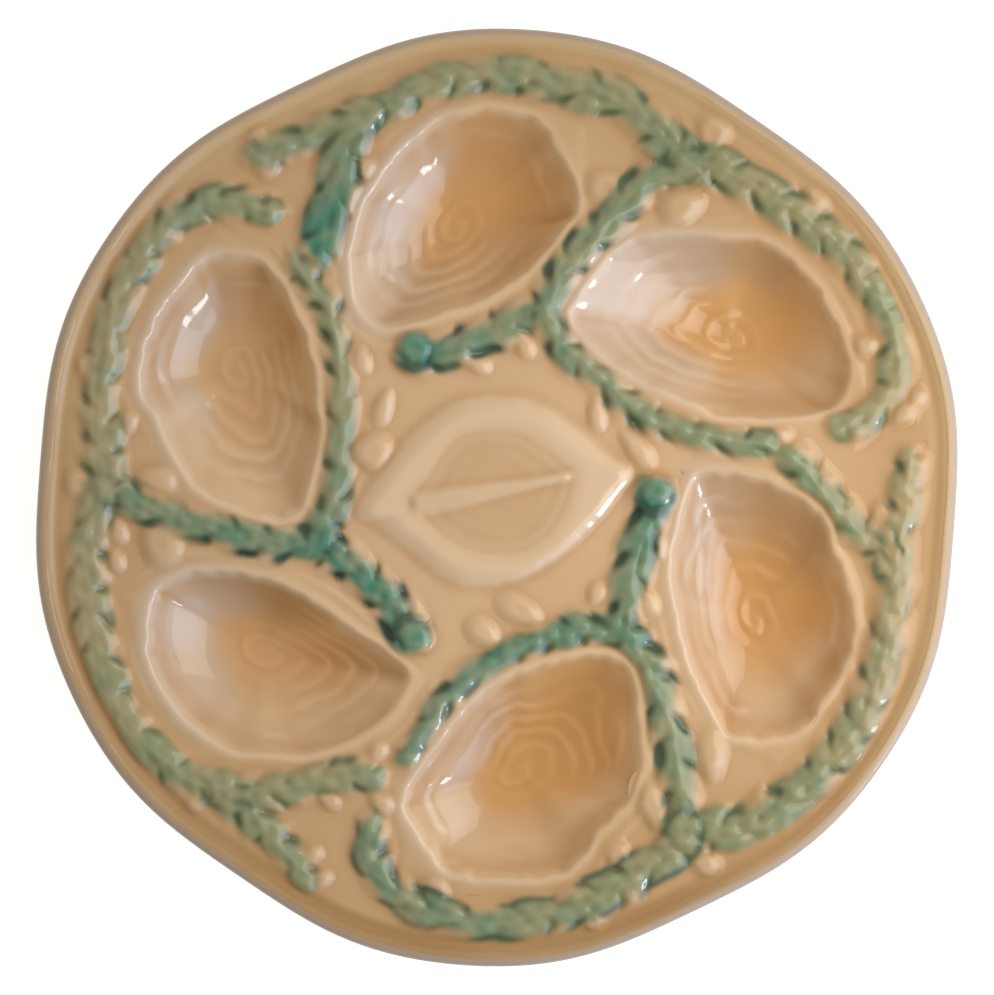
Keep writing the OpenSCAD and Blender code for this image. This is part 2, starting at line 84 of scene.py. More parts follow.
# Each well: its swirl, the corner of its hinge and the edge of its basin, clockwise from above
WELLS = [
    ((-16, 70), (16, 100), [
        (-43, 60), (-42, 67), (-40, 75), (-37, 80), (-32, 88), (-28, 92), (-24, 96), (-15, 100), (-8, 101),
        (0, 100), (5, 97), (8, 92), (12, 87), (14, 82), (15, 76), (12, 72), (8, 66), (4, 61), (0, 57),
        (-5, 53), (-10, 50), (-18, 47), (-25, 44), (-33, 42), (-38, 45), (-41, 50)]),
    ((58, 47), (95, 33.5), [
        (15, 50), (18, 54), (20, 58), (24, 64), (30, 69), (36, 71), (42, 72), (50, 72), (62, 72), (68, 70),
        (74, 66), (79, 61), (83, 55), (86, 50), (88, 45), (89, 40), (89, 35), (85, 29.5), (79, 28),
        (70, 26.5), (62, 26), (55, 26.5), (48, 29), (42, 31), (36, 33), (30, 36), (25, 39), (19, 44)]),
    ((70, -27), (78, -64), [
        (60, 11), (68, 10), (76, 7), (82, 4), (86, 0), (88, -6), (91, -12), (94, -19), (95, -24), (95, -30),
        (93, -38), (89, -45), (85, -53), (77, -57), (66, -57), (62, -53), (58, -47), (54, -40), (51, -32),
        (49, -24), (47, -17), (47, -10), (48, -3), (49, 3), (52, 10)]),
    ((11, -72), (-18, -99), [
        (-18, -82), (-17, -77), (-13, -70), (-8, -62), (-2, -54), (2, -50), (7, -46), (13, -44), (20, -41),
        (27, -39), (33, -39), (37, -42), (40, -47), (41, -54), (42, -60), (43, -67), (42, -72), (40, -77),
        (36, -81), (32, -86), (29, -92), (25, -96), (18, -98), (10, -99), (0, -99), (-7, -97), (-11, -92),
        (-15, -87)]),
    ((-58, -46), (-95, -33), [
        (-87, -31), (-80, -26.5), (-70, -25), (-62, -25.5), (-55, -27), (-48, -30), (-42, -33), (-36, -37),
        (-30, -40), (-25, -43), (-21, -46), (-19, -49), (-21, -53), (-24, -59), (-30, -64), (-37, -68),
        (-45, -71), (-55, -71), (-63, -71), (-70, -68), (-75, -65), (-80, -60), (-84, -55), (-87, -49),
        (-88, -44), (-88, -37)]),
    ((-70, 28), (-78, 65.5), [
        (-83, 54), (-79, 57), (-73, 57.5), (-67, 57), (-64, 55), (-60, 50), (-57, 45), (-54, 40), (-52, 34),
        (-50, 27), (-49, 20), (-47.5, 14.5), (-48, 9), (-49, 3), (-50, -3), (-52, -8), (-57, -10), (-63, -9),
        (-70, -7), (-77, -4), (-82, 1), (-86, 7), (-89, 13), (-94, 20), (-95, 26), (-94, 33), (-91, 42),
        (-87, 48)]),
]
BASIN_DEPTH = WELL_DEPTH - 0.8
WELL_EDGE_W = 2.2
HINGE_SPREAD = math.radians(21)
# The raised edge has a crest on either side of a low step, and a faint contour runs outside it
CREST_H, OUTER_CREST_H, STEP_H, CONTOUR_H = 0.17, 0.3, 0.3, 0.32
# Growth rings from the swirl to the edge, clearest on the side that lies this far round from the hinge
RINGS, RING_H = 6.2, 0.2
GROWTH_TURN = math.radians(225)
# The sides of a well on which its walls carry amber painted shade, the darkest painted shade, painted light,
# and a painted sheen
AMBER_SHADE_SIDE, PAINTED_SHADE_SIDE, LIT_SIDE, PAINTED_SHEEN_SIDE = (math.radians(turn) for turn in (60, 88, -105, 175))
# For each well, how steep its walls are, how strong its darkest painted shade is, how much amber glaze and
# amber painted shade it has, and how strong its painted sheen is
STEEP = [2.1, 1.5, 2.1, 2.1, 2.1, 2.1]
SHADE = [0.25, 0.95, 0.75, 0.2, 0.85, 0]
AMBER_SHARE = [0.95, 1, 1.05, 1.1, 0.85, 0.72]
PAINTED_SHEEN_SHARE = [0.8, 0.7, 0.5, 0.5, 0.7, 0.7]

LEMON_MIDDLE = (-1, 1)
LEMON_H, LEMON_FLOOR_H, LEMON_RIB_H = 2.05, 1.5, 0.75
# The side on which the lemon's border falls off more steeply
LEMON_STEEP = math.radians(-28)
LEMON_EDGE = [
    (-36.5, -5.5), (-34, 0), (-27, 11), (-22, 17), (-15, 23), (-8, 26), (2, 27), (10, 25.5), (17, 22),
    (24, 17), (30, 13), (34, 10.5), (34.5, 7), (32, 3.5), (29, -1), (26, -5), (22, -10), (17, -15), (10, -20),
    (3, -23), (-5, -24), (-12, -22.5), (-18, -19), (-25, -14), (-31, -10), (-35.5, -8.5)]
LEMON_HOLLOW = [
    (-24, -3), (-19, 6), (-15, 13), (-10, 17), (-3, 18.5), (4, 18), (11, 15), (17, 11), (20, 8.5), (20, 3),
    (18, -4), (14, -10), (8, -14.5), (0, -16), (-8, -15), (-14, -12), (-20, -7)]
LEMON_RIB = [(-21.5, -3.8), (-14, -2), (-5, 1), (5, 4), (13, 6), (20, 7.5)]

# Middle lines of the seaweed, from the knob outwards, for each of its three plants
STEMS = [
    [(-27, 35.5), (-24, 36), (-18, 37), (-10, 40), (-3, 43.5), (3, 47.5), (9, 51), (12, 58), (16, 65),
        (21, 71), (26, 78), (30, 83), (35, 87), (43, 91)],
    [(42.5, 6), (41, 3), (40, -4), (38, -12), (36, -20), (36, -28), (37, -34), (43, -42), (47, -50),
        (50, -58), (52, -66), (54, -74), (55, -82)],
    [(-17.5, -39), (-20, -37), (-25, -30), (-32, -24), (-39, -19), (-47, -16), (-56, -16), (-66, -15),
        (-76, -13), (-86, -11), (-93, -9), (-102, -5)],
]
OUTER_FRONDS = [
    [(43, 91), (38, 96), (32, 101), (24, 105), (14, 108), (4, 110), (-6, 110), (-16, 109), (-26, 106),
        (-36, 100), (-44, 95), (-52, 92), (-60, 88), (-68, 84)],
    [(55, -82), (62, -82), (70, -81), (78, -77), (85, -70), (92, -62), (98, -52), (102, -42), (104, -32),
        (105, -22), (105, -12), (101, -5), (94, -1), (88, 5), (82, 10), (76, 16)],
    [(-102, -5), (-105, -16), (-106, -25), (-104, -35), (-101, -46), (-97, -57), (-91, -67), (-83, -74),
        (-74, -79), (-64, -81), (-54, -81), (-45, -79), (-37, -76), (-28, -75)],
]
FORKS = [
    [(-42, 96.5), (-46, 89), (-48, 80), (-49, 72), (-51, 62)],
    [(105, -10), (105, -2), (106, 5), (106.5, 11), (107, 17)],
    [(-66, -80.5), (-58, -87), (-52, -93), (-46, -98), (-42, -103)],
]
RIM_FRONDS = [
    [(43, 91), (52, 90), (60, 87), (68, 82), (77, 77), (85, 71), (92, 63), (98, 54), (101, 46), (101, 38),
        (97, 31), (89, 26)],
    [(55, -82), (53, -88), (45, -94), (36, -101), (26, -106), (16, -109), (5, -110.5), (-6, -110),
        (-15, -107), (-22, -102), (-26, -96), (-26, -88)],
    [(-102, -5), (-104, 6), (-105, 16), (-105, 26), (-104, 36), (-102, 46), (-98, 54), (-93, 62), (-86, 68),
        (-78, 71), (-66, 70)],
]
SIDE_FRONDS = [
    [(9, 51), (13, 42), (19, 37), (25, 33), (31, 28), (38, 24), (46, 21.5), (54, 20), (62, 19.5), (69, 19)],
    [(37, -34), (28, -32.5), (20, -34), (12, -37), (4, -42), (-3, -47), (-9, -53), (-13, -60), (-18, -69)],
    [(-47, -16), (-43, -6), (-42, 3), (-42, 12), (-42, 21), (-43, 30), (-45, 38), (-48, 46), (-53, 52),
        (-57, 57)],
]
# Half widths of the seaweed, and its relief
OUTER_W, RIM_FROND_W, SIDE_W, STEM_W = 6.1, 5.9, 4.8, 5.3
FROND_H, MIDRIB_H, LUMP_H, PIT_DEPTH = 1.9, 0.28, 0.24, 0.9
# Length of a leaflet, how far it sweeps back, how soft its edge is, and half the band it is cut from
LEAF_PITCH, LEAF_SWEEP, LEAF_SOFT, BAND = 10.6, 0.85, 2.9, 8.8
# Which way the dark curl of each knob opens, in degrees
KNOB_CURLS = [-82, -110, 150]
KNOB_R, KNOB_H, KNOB_CAP_H = 5.3, 2.3, 2.8

# Bladders of each plant: place, half length, half width, turn of the fat end, and any hollow in the top
BLADDERS = [
    [(22.5, 83, 5.4, 4.2, 185, 0.6), (4, 40.5, 3.8, 2.2, -60), (-8, 34.5, 3.6, 2, -20), (-41, 83, 3, 2.4, 80),
        (-69, 89, 3, 2.4, 140), (-66, 81, 3, 2.2, 200), (48.8, 98.8, 5.6, 4.1, 75, 0.6),
        (42.3, 79.6, 6, 4.8, 205), (77, 84, 3.4, 2.8, -50), (93, 47, 3.2, 2.6, 200), (104, 30, 3.8, 2.6, 50),
        (24.3, 24, 4.4, 2, -81), (35.5, 15.5, 6, 2.5, -44), (72, 22, 3.2, 1.8, 0), (107, 34, 2.8, 2, 60)],
    [(43, -9.5, 3.4, 2.4, -60), (41.5, -24, 3.6, 2.2, -70), (61, -63.2, 6.8, 3.7, 97),
        (46.8, -77.5, 7.2, 3.6, 118), (39, -91, 3.9, 3.2, 124), (33, -108, 3.2, 2.6, -20),
        (61.4, -91.2, 3.7, 3, -16), (-8, -103, 3.4, 2.8, 160), (8.2, -28.8, 6.6, 3.3, 158, 0.3),
        (-0.8, -35.4, 5, 3.2, 154), (100, 3, 3.6, 2.2, 75), (28, -23, 3, 2.2, 60)],
    [(-108.6, -4.6, 4, 3.6, 184, 0.4), (-110, 26, 2.6, 1.8, 80), (-89, -2.2, 5.2, 3.4, -10),
        (-86.6, -18.8, 6.2, 5.2, -50, 0.2), (-97.5, 12, 3.2, 2, 80), (-33.4, 9.3, 5.4, 4.9, 5, 0.25),
        (-31.4, 21.2, 5, 2.1, -104), (-38, 33, 3.4, 2.2, -80), (-98, -16.4, 3.4, 2.3, -78),
        (-98, -24, 3, 2.1, -80), (-72, -85, 3.2, 2.4, 210), (-41, -97, 2.8, 2, 60), (-38, -103, 2.6, 2, 60),
        (-24, -82, 3.2, 2.4, -40), (-26, -69, 2.8, 2, 60), (-38, -82, 3.4, 2, -30)],
]


def smooth(start, end, x):
    """0 at start, 1 at end, and a soft step between them."""
    t = np.clip((x - start) / (end - start), 0, 1)
    return t * t * (3 - 2 * t)


def bell(x, width):
    return np.exp(-(x / width) ** 2)


def waves(x, y, size, seed, kinds=5):
    """Hand-made unevenness between about -1 and 1: a few crossing waves, about size long."""
    draw = np.random.default_rng(seed)
    total = 0
    for turn, start, stretch in zip(*draw.uniform((0, 0, 0.7), (TURN, TURN, 1.4), (kinds, 3)).T):
        total = total + np.sin((x * math.cos(turn) + y * math.sin(turn)) * TURN / (size * stretch) + start)
    return total / kinds * 1.6


def edge_r(angle):
    """Distance of the scalloped edge from the middle of the plate."""
    lobe = LOBES * (angle - LOBE_ANGLE)
    return PLATE_R - SCALLOP_DEPTH * ((1 - np.cos(lobe)) / 2 - LOBE_FLAT * (1 - np.cos(2 * lobe)) / 2)


def curve(marks, closed=False, gap=0.5):
    """Points at even gaps on the smooth curve through marks."""
    p = np.array(marks, float)
    if closed:
        p = np.concatenate([p[-1:], p, p[:2]])
    else:
        p = np.concatenate([2 * p[:1] - p[1:2], p, 2 * p[-1:] - p[-2:-1]])
    t = np.linspace(0, 1, 24, endpoint=False)[:, None]
    dense = np.concatenate([
        (2 * b + (c - a) * t + (2 * a - 5 * b + 4 * c - d) * t ** 2 + (3 * b - a - 3 * c + d) * t ** 3) / 2
        for a, b, c, d in zip(p, p[1:], p[2:], p[3:])] + [p[-2:-1]])
    run = np.concatenate([[0], np.cumsum(np.linalg.norm(np.diff(dense, axis=0), axis=1))])
    at = np.linspace(0, run[-1], max(int(round(run[-1] / gap)), 2) + 1)
    return np.stack([np.interp(at, run, dense[:, 0]), np.interp(at, run, dense[:, 1])], 1)


class Outline:
    """A closed outline seen from a place inside it: its distance in each direction."""

    def __init__(self, points, middle, wave=0, seed=0):
        offset = np.array(points) - middle
        angle = np.arctan2(offset[:, 1], offset[:, 0])
        order = np.argsort(angle)
        self.angles = np.linspace(-math.pi, math.pi, 1441)
        reach = np.interp(self.angles, angle[order], np.linalg.norm(offset, axis=1)[order], period=TURN)
        x, y = reach * np.cos(self.angles), reach * np.sin(self.angles)
        self.reach = reach + wave * (waves(x, y, 8, seed) + 0.5 * waves(x, y, 4.5, seed + 1))
        slope = np.gradient(self.reach, self.angles)
        self.lean = self.reach / np.hypot(self.reach, slope)

    def at(self, angle):
        return np.interp(angle, self.angles, self.reach, period=TURN)

    def past(self, distance, angle):
        """How far outside the outline a place is, square to it. Inside it is negative."""
        return (distance - self.at(angle)) * np.interp(angle, self.angles, self.lean, period=TURN)


def polar(x, y, middle):
    return np.hypot(x - middle[0], y - middle[1]), np.arctan2(y - middle[1], x - middle[0])


def room_to_rim(at):
    """How far inside the foot of the rim a place is."""
    distance, angle = polar(at[..., 0], at[..., 1], (0, 0))
    return edge_r(angle) - RIM_WIDTH - distance


class Well:
    """The outlines of one well: its basin, and the outer foot of its raised shell edge."""

    def __init__(self, k):
        swirl, hinge, marks = WELLS[k]
        basin = curve(marks + marks[:1], True, 0.4)
        centre = basin.mean(0)
        away = basin - centre
        distance = np.linalg.norm(away, axis=1)[:, None]
        towards = math.atan2(hinge[1] - centre[1], hinge[0] - centre[0])
        apart = np.abs((np.arctan2(away[:, 1], away[:, 0]) - towards + math.pi) % TURN - math.pi)
        pull = np.clip(1 - apart / HINGE_SPREAD, 0, 1)[:, None]
        outer = (basin + WELL_EDGE_W * away / distance) * (1 - pull) + np.array(hinge) * pull
        self.number = k
        self.seed = 10 * k + 3
        self.swirl = swirl
        self.hinge = math.atan2(hinge[1] - swirl[1], hinge[0] - swirl[0])
        self.basin = Outline(basin, swirl, 0.42, self.seed)
        self.even = Outline(basin, swirl)
        self.outer = Outline(outer, swirl, 0.16, self.seed + 2)


class Face:
    """The plate from above: clay heights, glaze masks and masks of painted light and shade on a fine square
    net.
    """

    GRAIN = 0.25
    HALF = 126.0
    # How far each mask is softened, as by a flowing glaze; the painted light and shade are softened the same
    # way
    FLOW = {"leaf": 0.6, "teal": 2.5, "deep": 0.4, "amber": 1.5, "pale": 0.6, "shade": 1.2, "painted_sheen": 1.2}
    # The gap to a well or the lemon where there is none near
    FAR = 3

    def __init__(self):
        self.axis = np.arange(-self.HALF, self.HALF + self.GRAIN / 2, self.GRAIN)
        self.x, self.y = np.meshgrid(self.axis, self.axis)
        for sheet in ("relief", "dent", "basin", *self.FLOW):
            setattr(self, sheet, np.zeros_like(self.x))
        self.gap = np.full_like(self.x, self.FAR)
        self.room = room_to_rim(np.stack([self.x, self.y], -1))
        self.bed = 0.10 * waves(self.x, self.y, 34, 1) + 0.035 * waves(self.x, self.y, 11, 2)
        self.bed += 1.5 * smooth(-20, 6, -self.room) - 0.15

    def window(self, points, reach):
        """The part of the net around some points."""
        low = np.floor((np.min(points, 0) - reach + self.HALF) / self.GRAIN)
        high = np.ceil((np.max(points, 0) + reach + self.HALF) / self.GRAIN)
        low, high = (corner.astype(int).clip(0, len(self.axis)) for corner in (low, high))
        return slice(low[1], high[1]), slice(low[0], high[0])

    def clear(self, window, start, end):
        """0 on the wells, the lemon and the rim, 1 clear of them. Start and end are by the rim's foot."""
        return smooth(-0.4, 0.9, self.gap[window]) * smooth(start, end, self.room[window])

    def lay(self, name, window, amount):
        """Lays a mask on, where there isn't more of it already."""
        sheet = getattr(self, name)
        sheet[window] = np.maximum(sheet[window], amount)

    def raise_clay(self, window, height):
        """Adds a relief. Where two meet, their clay runs together softly."""
        self.relief[window] += np.clip(height, 0, None) ** 4

    def blur(self, sheet, width):
        """The sheet softened as by a glaze that flows this far."""
        waves_x = np.fft.rfftfreq(sheet.shape[1], self.GRAIN)
        waves_y = np.fft.fftfreq(sheet.shape[0], self.GRAIN)
        keep = np.exp(-2 * (math.pi * width) ** 2 * (waves_x[None, :] ** 2 + waves_y[:, None] ** 2))
        return np.fft.irfft2(np.fft.rfft2(sheet) * keep, sheet.shape)

    def fire(self):
        """Joins the clay, and lays the glaze over it, thin on its edges and deep in its hollows."""
        top = self.bed + self.relief ** 0.25
        top = np.minimum(top, np.where(self.room < 0, RIM_TOP - BED_TOP - 0.02, HIGHEST - BED_TOP - 0.1))
        clay = top - self.dent - self.basin
        self.height = self.blur(clay, 0.5)
        self.pool = np.clip((self.blur(clay, 1.5) - self.height) / 0.36, -1.5, 1.5)
        self.deep = np.clip(self.deep, 0, 1)
        for name, width in self.FLOW.items():
            setattr(self, name, self.blur(getattr(self, name), width))

    def read(self, name, at):
        """Heights or a mask at places between the net's points, on smooth curves both ways."""
        sheet = getattr(self, name)
        u = np.clip((at[..., 0] + self.HALF) / self.GRAIN, 1, len(self.axis) - 3)
        v = np.clip((at[..., 1] + self.HALF) / self.GRAIN, 1, len(self.axis) - 3)
        i, j = u.astype(int), v.astype(int)
        total = 0
        for b, share_b in enumerate(self.shares(v - j)):
            for a, share_a in enumerate(self.shares(u - i)):
                total = total + share_a * share_b * sheet[j + b - 1, i + a - 1]
        return total

    @staticmethod
    def shares(t):
        return (
            (-t + 2 * t ** 2 - t ** 3) / 2, (2 - 5 * t ** 2 + 3 * t ** 3) / 2,
            (t + 4 * t ** 2 - 3 * t ** 3) / 2, (-t ** 2 + t ** 3) / 2)


face = Face()
wells = [Well(k) for k in range(len(WELLS))]


def press_well(well):
    """One shell: its bowl with growth rings round a swirl, the thin raised edge, and the hinge corner."""
    edge = np.stack([np.cos(well.outer.angles), np.sin(well.outer.angles)], 1) * well.outer.reach[:, None]
    window = face.window(edge + well.swirl, 9)
    x, y = face.x[window], face.y[window]
    distance, angle = polar(x, y, well.swirl)
    past_basin = well.basin.past(distance, angle)
    past_outer = well.outer.past(distance, angle)
    even = distance / well.even.at(angle)
    share = even + (distance / well.basin.at(angle) - even) * smooth(0.92, 0.995, even)
    within = np.clip(share, 0, 1)

    def uneven(size, number):
        return waves(x, y, size, well.seed + number)

    def facing(direction, start, end):
        return smooth(start, end, np.cos(angle - direction))

    steep = STEEP[well.number] + 0.9 * facing(well.hinge, -0.6, 0.7)
    bowl = BASIN_DEPTH * (1 - within ** steep) ** 0.88
    wobble = 0.05 * uneven(24, 4) + 0.016 * uneven(8, 5)
    phase = RINGS * (within + wobble) + angle / TURN
    turn = phase - np.floor(phase)
    rings = 1.5 * bell(turn - 0.5, 0.19) + 0.35 * np.sin(TURN * turn) - 0.5
    growth = np.cos(angle - well.hinge - GROWTH_TURN) + 0.22 * uneven(13, 12)
    growth = np.maximum(smooth(0.3, 0.2, within), smooth(-0.1, 0.45, growth))
    strength = RING_H * smooth(0, 0.10, within) * (1 - smooth(0.68, 0.93, within)) * growth
    strength = strength * np.clip(0.9 + 0.5 * uneven(30, 6), 0.3, 1.5)
    walls = 0.18 * uneven(22, 7) * smooth(0.25, 0.7, within) * (1 - smooth(0.85, 1, within))
    ledge = 0.4 * bell(within - 0.8 - wobble, 0.03) * smooth(0.1, 0.9, uneven(30, 8))
    face.basin[window] += np.where(past_basin < 0, bowl - rings * strength - walls - ledge, 0)
    ragged = np.clip(0.75 + 0.8 * uneven(9, 9), 0.15, 1.4)
    crest = CREST_H * bell(past_basin - 0.7, 0.95) * ragged
    outer_crest = OUTER_CREST_H * bell(past_outer + 0.9, 1.0) * smooth(-0.5, 0.5, uneven(25, 13))
    step = STEP_H * smooth(-0.6, 1.2, past_basin) * smooth(2.2, -1.4, past_outer)
    contour = CONTOUR_H * bell(past_outer - 2.9 - 0.7 * uneven(20, 10), 0.9)
    contour = contour * smooth(-0.2, 0.7, uneven(40, 11))
    for height in (crest, outer_crest, step, contour):
        face.raise_clay(window, height * (past_outer < 7))
    face.gap[window] = np.minimum(face.gap[window], past_outer)
    # Amber glaze pooled in the basin, reaching higher up the walls on one side as painted shade
    on_shaded_side = facing(AMBER_SHADE_SIDE, -0.1, 0.9) * smooth(0.15, 0.5, share)
    amber = smooth(0.95, 0.2, share + wobble - 0.42 * on_shaded_side) * smooth(1.04, 0.98, share)
    face.lay("amber", window, AMBER_SHARE[well.number] * amber)
    # Painted shade: the walls on the dark side are painted darker
    shade = facing(PAINTED_SHADE_SIDE, 0.45, 0.95) * smooth(0.4, 0.75, share) * smooth(1.04, 0.98, share)
    face.lay("shade", window, SHADE[well.number] * shade)
    # Painted sheen: a pale bloom painted on the walls of one side, in place of a window's reflection
    painted_sheen = facing(PAINTED_SHEEN_SIDE, -0.1, 0.75) * smooth(0.3, 0.6, share + wobble) * smooth(1.2, 1, share)
    face.lay("painted_sheen", window, PAINTED_SHEEN_SHARE[well.number] * painted_sheen)
    # Painted light: the walls on the lit side are painted paler
    pale = 0.5 * facing(LIT_SIDE, 0.1, 0.9) * smooth(0.5, 0.85, share) * smooth(1.1, 1, share)
    face.lay("pale", window, pale)


def press_lemon():
    """The lemon: a broad domed border round a hollow with soft contour lines, and the core across it."""
    edge = Outline(curve(LEMON_EDGE, True), LEMON_MIDDLE, 0.1, 71)
    hollow = Outline(curve(LEMON_HOLLOW, True), LEMON_MIDDLE, 0.1, 73)
    window = face.window(LEMON_EDGE, 6)
    x, y = face.x[window], face.y[window]
    distance, angle = polar(x, y, LEMON_MIDDLE)
    past_edge = edge.past(distance, angle)
    past_hollow = hollow.past(distance, angle)
    slope = 5.5 - 2.6 * smooth(0.4, 0.95, np.cos(angle - LEMON_STEEP))
    border = LEMON_H * smooth(0.2, -1, past_edge / slope) ** 0.8
    floor = smooth(3.2, -4.2, past_hollow)
    rows = 0.05 * np.sin(TURN * past_hollow / 4.2) * smooth(0, -2, past_hollow) * smooth(-12, -6, past_hollow)
    height = border * (1 - floor) + (LEMON_FLOOR_H + rows) * floor
    groove = 0.2 * bell(past_hollow + 1.6, 0.7)
    along, aside = place_on(LEMON_RIB, x, y)
    wide = 3.0 - 2.0 * smooth(0, 42, along)
    rib = LEMON_RIB_H * smooth(1.5, 0.5, np.abs(aside) / wide) * smooth(-0.8, 0.6, along)
    rib = rib * smooth(43.5, 40, along)
    face.raise_clay(window, height + rib * floor - groove * floor)
    face.gap[window] = np.minimum(face.gap[window], past_edge)
    pale = smooth(0.4, -1.6, past_edge) * (0.75 - 0.75 * smooth(3, -4.5, past_hollow))
    face.pale[window] = pale + 0.7 * rib * floor
    # The hollow is painted darker than the border
    face.shade[window] = 0.25 * smooth(1, -5, past_hollow)
    return edge


def place_on(marks, x, y):
    """Distance along a nearly straight line, and to its left."""
    start, end = np.array(marks[0], float), np.array(marks[-1], float)
    ahead = (end - start) / np.linalg.norm(end - start)
    dx, dy = x - start[0], y - start[1]
    return dx * ahead[0] + dy * ahead[1], dy * ahead[0] - dx * ahead[1]


class Line:
    """A curved line in plan, with its direction and bend at every half millimetre."""

    GAP = 0.5
    BLOCK = 16

    def __init__(self, marks):
        self.points = curve(marks, gap=self.GAP)
        ahead = np.gradient(self.points, axis=0)
        self.ahead = ahead / np.linalg.norm(ahead, axis=1)[:, None]
        self.left = np.stack([-self.ahead[:, 1], self.ahead[:, 0]], 1)
        heading = np.unwrap(np.arctan2(self.ahead[:, 1], self.ahead[:, 0]))
        self.bend = np.gradient(heading) / self.GAP
        self.length = self.GAP * (len(self.points) - 1)

    def near(self, reach):
        """The part of the net within reach, with each place's distance along the line and to its left."""
        window = face.window(self.points, reach)
        best = np.full(face.x[window].shape, 1e9)
        along, aside = np.zeros_like(best), np.full_like(best, 99)
        for first in range(0, len(self.points), self.BLOCK):
            block = self.points[first:first + self.BLOCK]
            part = face.window(block, reach)
            local = tuple(slice(p.start - w.start, p.stop - w.start) for p, w in zip(part, window))
            x, y = face.x[part], face.y[part]
            square = (x[..., None] - block[:, 0]) ** 2 + (y[..., None] - block[:, 1]) ** 2
            least, i = square.min(-1), square.argmin(-1) + first
            dx, dy = x - self.points[i, 0], y - self.points[i, 1]
            side = dx * self.left[i, 0] + dy * self.left[i, 1]
            on = dx * self.ahead[i, 0] + dy * self.ahead[i, 1]
            closer = least < best[local]
            best[local][closer] = least[closer]
            along[local][closer] = (i * self.GAP + on / np.clip(1 - self.bend[i] * side, 0.4, 3))[closer]
            aside[local][closer] = side[closer]
        return window, along, aside


def odd_share(number):
    """A fixed but uneven share for each leaflet."""
    return np.modf(np.abs(np.sin(number * 12.99)) * 437.58)[0]


def press_frond(line, half_width, seed, teal_start, teal_end, pits, taper=0.2, knob=False, lobes=0.2, dark=0):
    """Seaweed: a winding midrib, leaflets fused along both edges, and a dark pit in each notch."""
    window, along, aside = line.near(BAND + 1)
    x, y = face.x[window], face.y[window]
    off = np.abs(aside)
    left = aside > 0
    share = np.clip(along / line.length, 0, 1)

    def uneven(size, number):
        return waves(x, y, size, int(seed * 10) + number)

    wide = half_width * (1 - taper * share) * (1 + 0.12 * uneven(18, 0))
    if knob:
        wide = wide * (1 + 0.12 * smooth(14, 4, along))
    pitch = LEAF_PITCH * (0.7 + 0.06 * half_width)
    phase = (along - LEAF_SWEEP * off) / pitch + np.where(left, 0.0, 0.47) + 0.2 * np.sin(along / 11 + seed)
    phase = phase + 0.13 * uneven(9, 7)
    leaf = np.floor(phase)
    t = phase - leaf
    odd = odd_share(leaf + np.where(left, 3.1, 7.7) + seed)
    other = odd_share(leaf * 1.7 + np.where(left, 5.3, 1.9) + seed)
    lobe = (1 - lobes + lobes * np.sqrt(np.sin(math.pi * t))) * (0.88 + 0.24 * odd)
    beyond = np.maximum(np.maximum(-along, along - line.length), 0)
    r = np.hypot(aside, beyond) / (wide * lobe)
    soft = LEAF_SOFT / wide
    body = smooth(1 + soft * 0.7, 1 - soft * 1.3, r)
    notch = np.where(t < 0.5, t, t - 1) * pitch * 0.7
    middle = aside - 0.6 * np.sin(along / 6.1 + seed) - 0.3 * np.sin(along / 2.9 + 2 * seed)
    rib = MIDRIB_H * bell(middle, 0.75)
    vein = bell((t - 0.55) * pitch * 0.75, 1.2) * smooth(0.1, 0.6, off / wide)
    crease = (0.2 + 0.35 * other) * bell(notch + 0.2, 0.85) * smooth(0.10, 0.36, off / wide)
    height = body * (FROND_H * (0.86 + 0.12 * vein) + rib - crease + LUMP_H * uneven(5, 8))
    pit = bell(notch - 0.3, 0.9 + 0.8 * other) * bell(off - (0.6 + 0.25 * other) * wide, 0.8 + 0.8 * odd)
    pit = pit * smooth(1.5, -0.5, beyond) * smooth(0.2, 0.5, odd)
    keep = face.clear(window, -2.6, -0.2)
    if knob:
        keep = keep * smooth(-2, 1.5, along)
    tip = smooth(0.15, 0.5, t) * smooth(1, 0.9, t) * smooth(0.52, 0.74, r) * smooth(0.25, 0.6, other)
    face.raise_clay(window, (height - PIT_DEPTH * pit) * keep)
    face.lay("dent", window, 0.2 * pit * keep)
    # Along the edges the green turns dark, partly from glaze pooled at the foot and partly from painted
    # shade; dark makes it stronger and more continuous
    edge = bell(r - 0.93, 0.15) * smooth(0.1, 0.9, uneven(17, 5) + dark) * (1 - tip)
    face.lay("deep", window, np.maximum(1.5 * pits * pit, (0.6 + 0.3 * dark) * edge) * keep)
    face.lay("leaf", window, smooth(1.06, 0.88, r) * (1 - 0.9 * tip) * keep)
    tint = teal_start + (teal_end - teal_start) * share
    face.teal[window] = np.where(body * keep > 0.02, tint, face.teal[window])


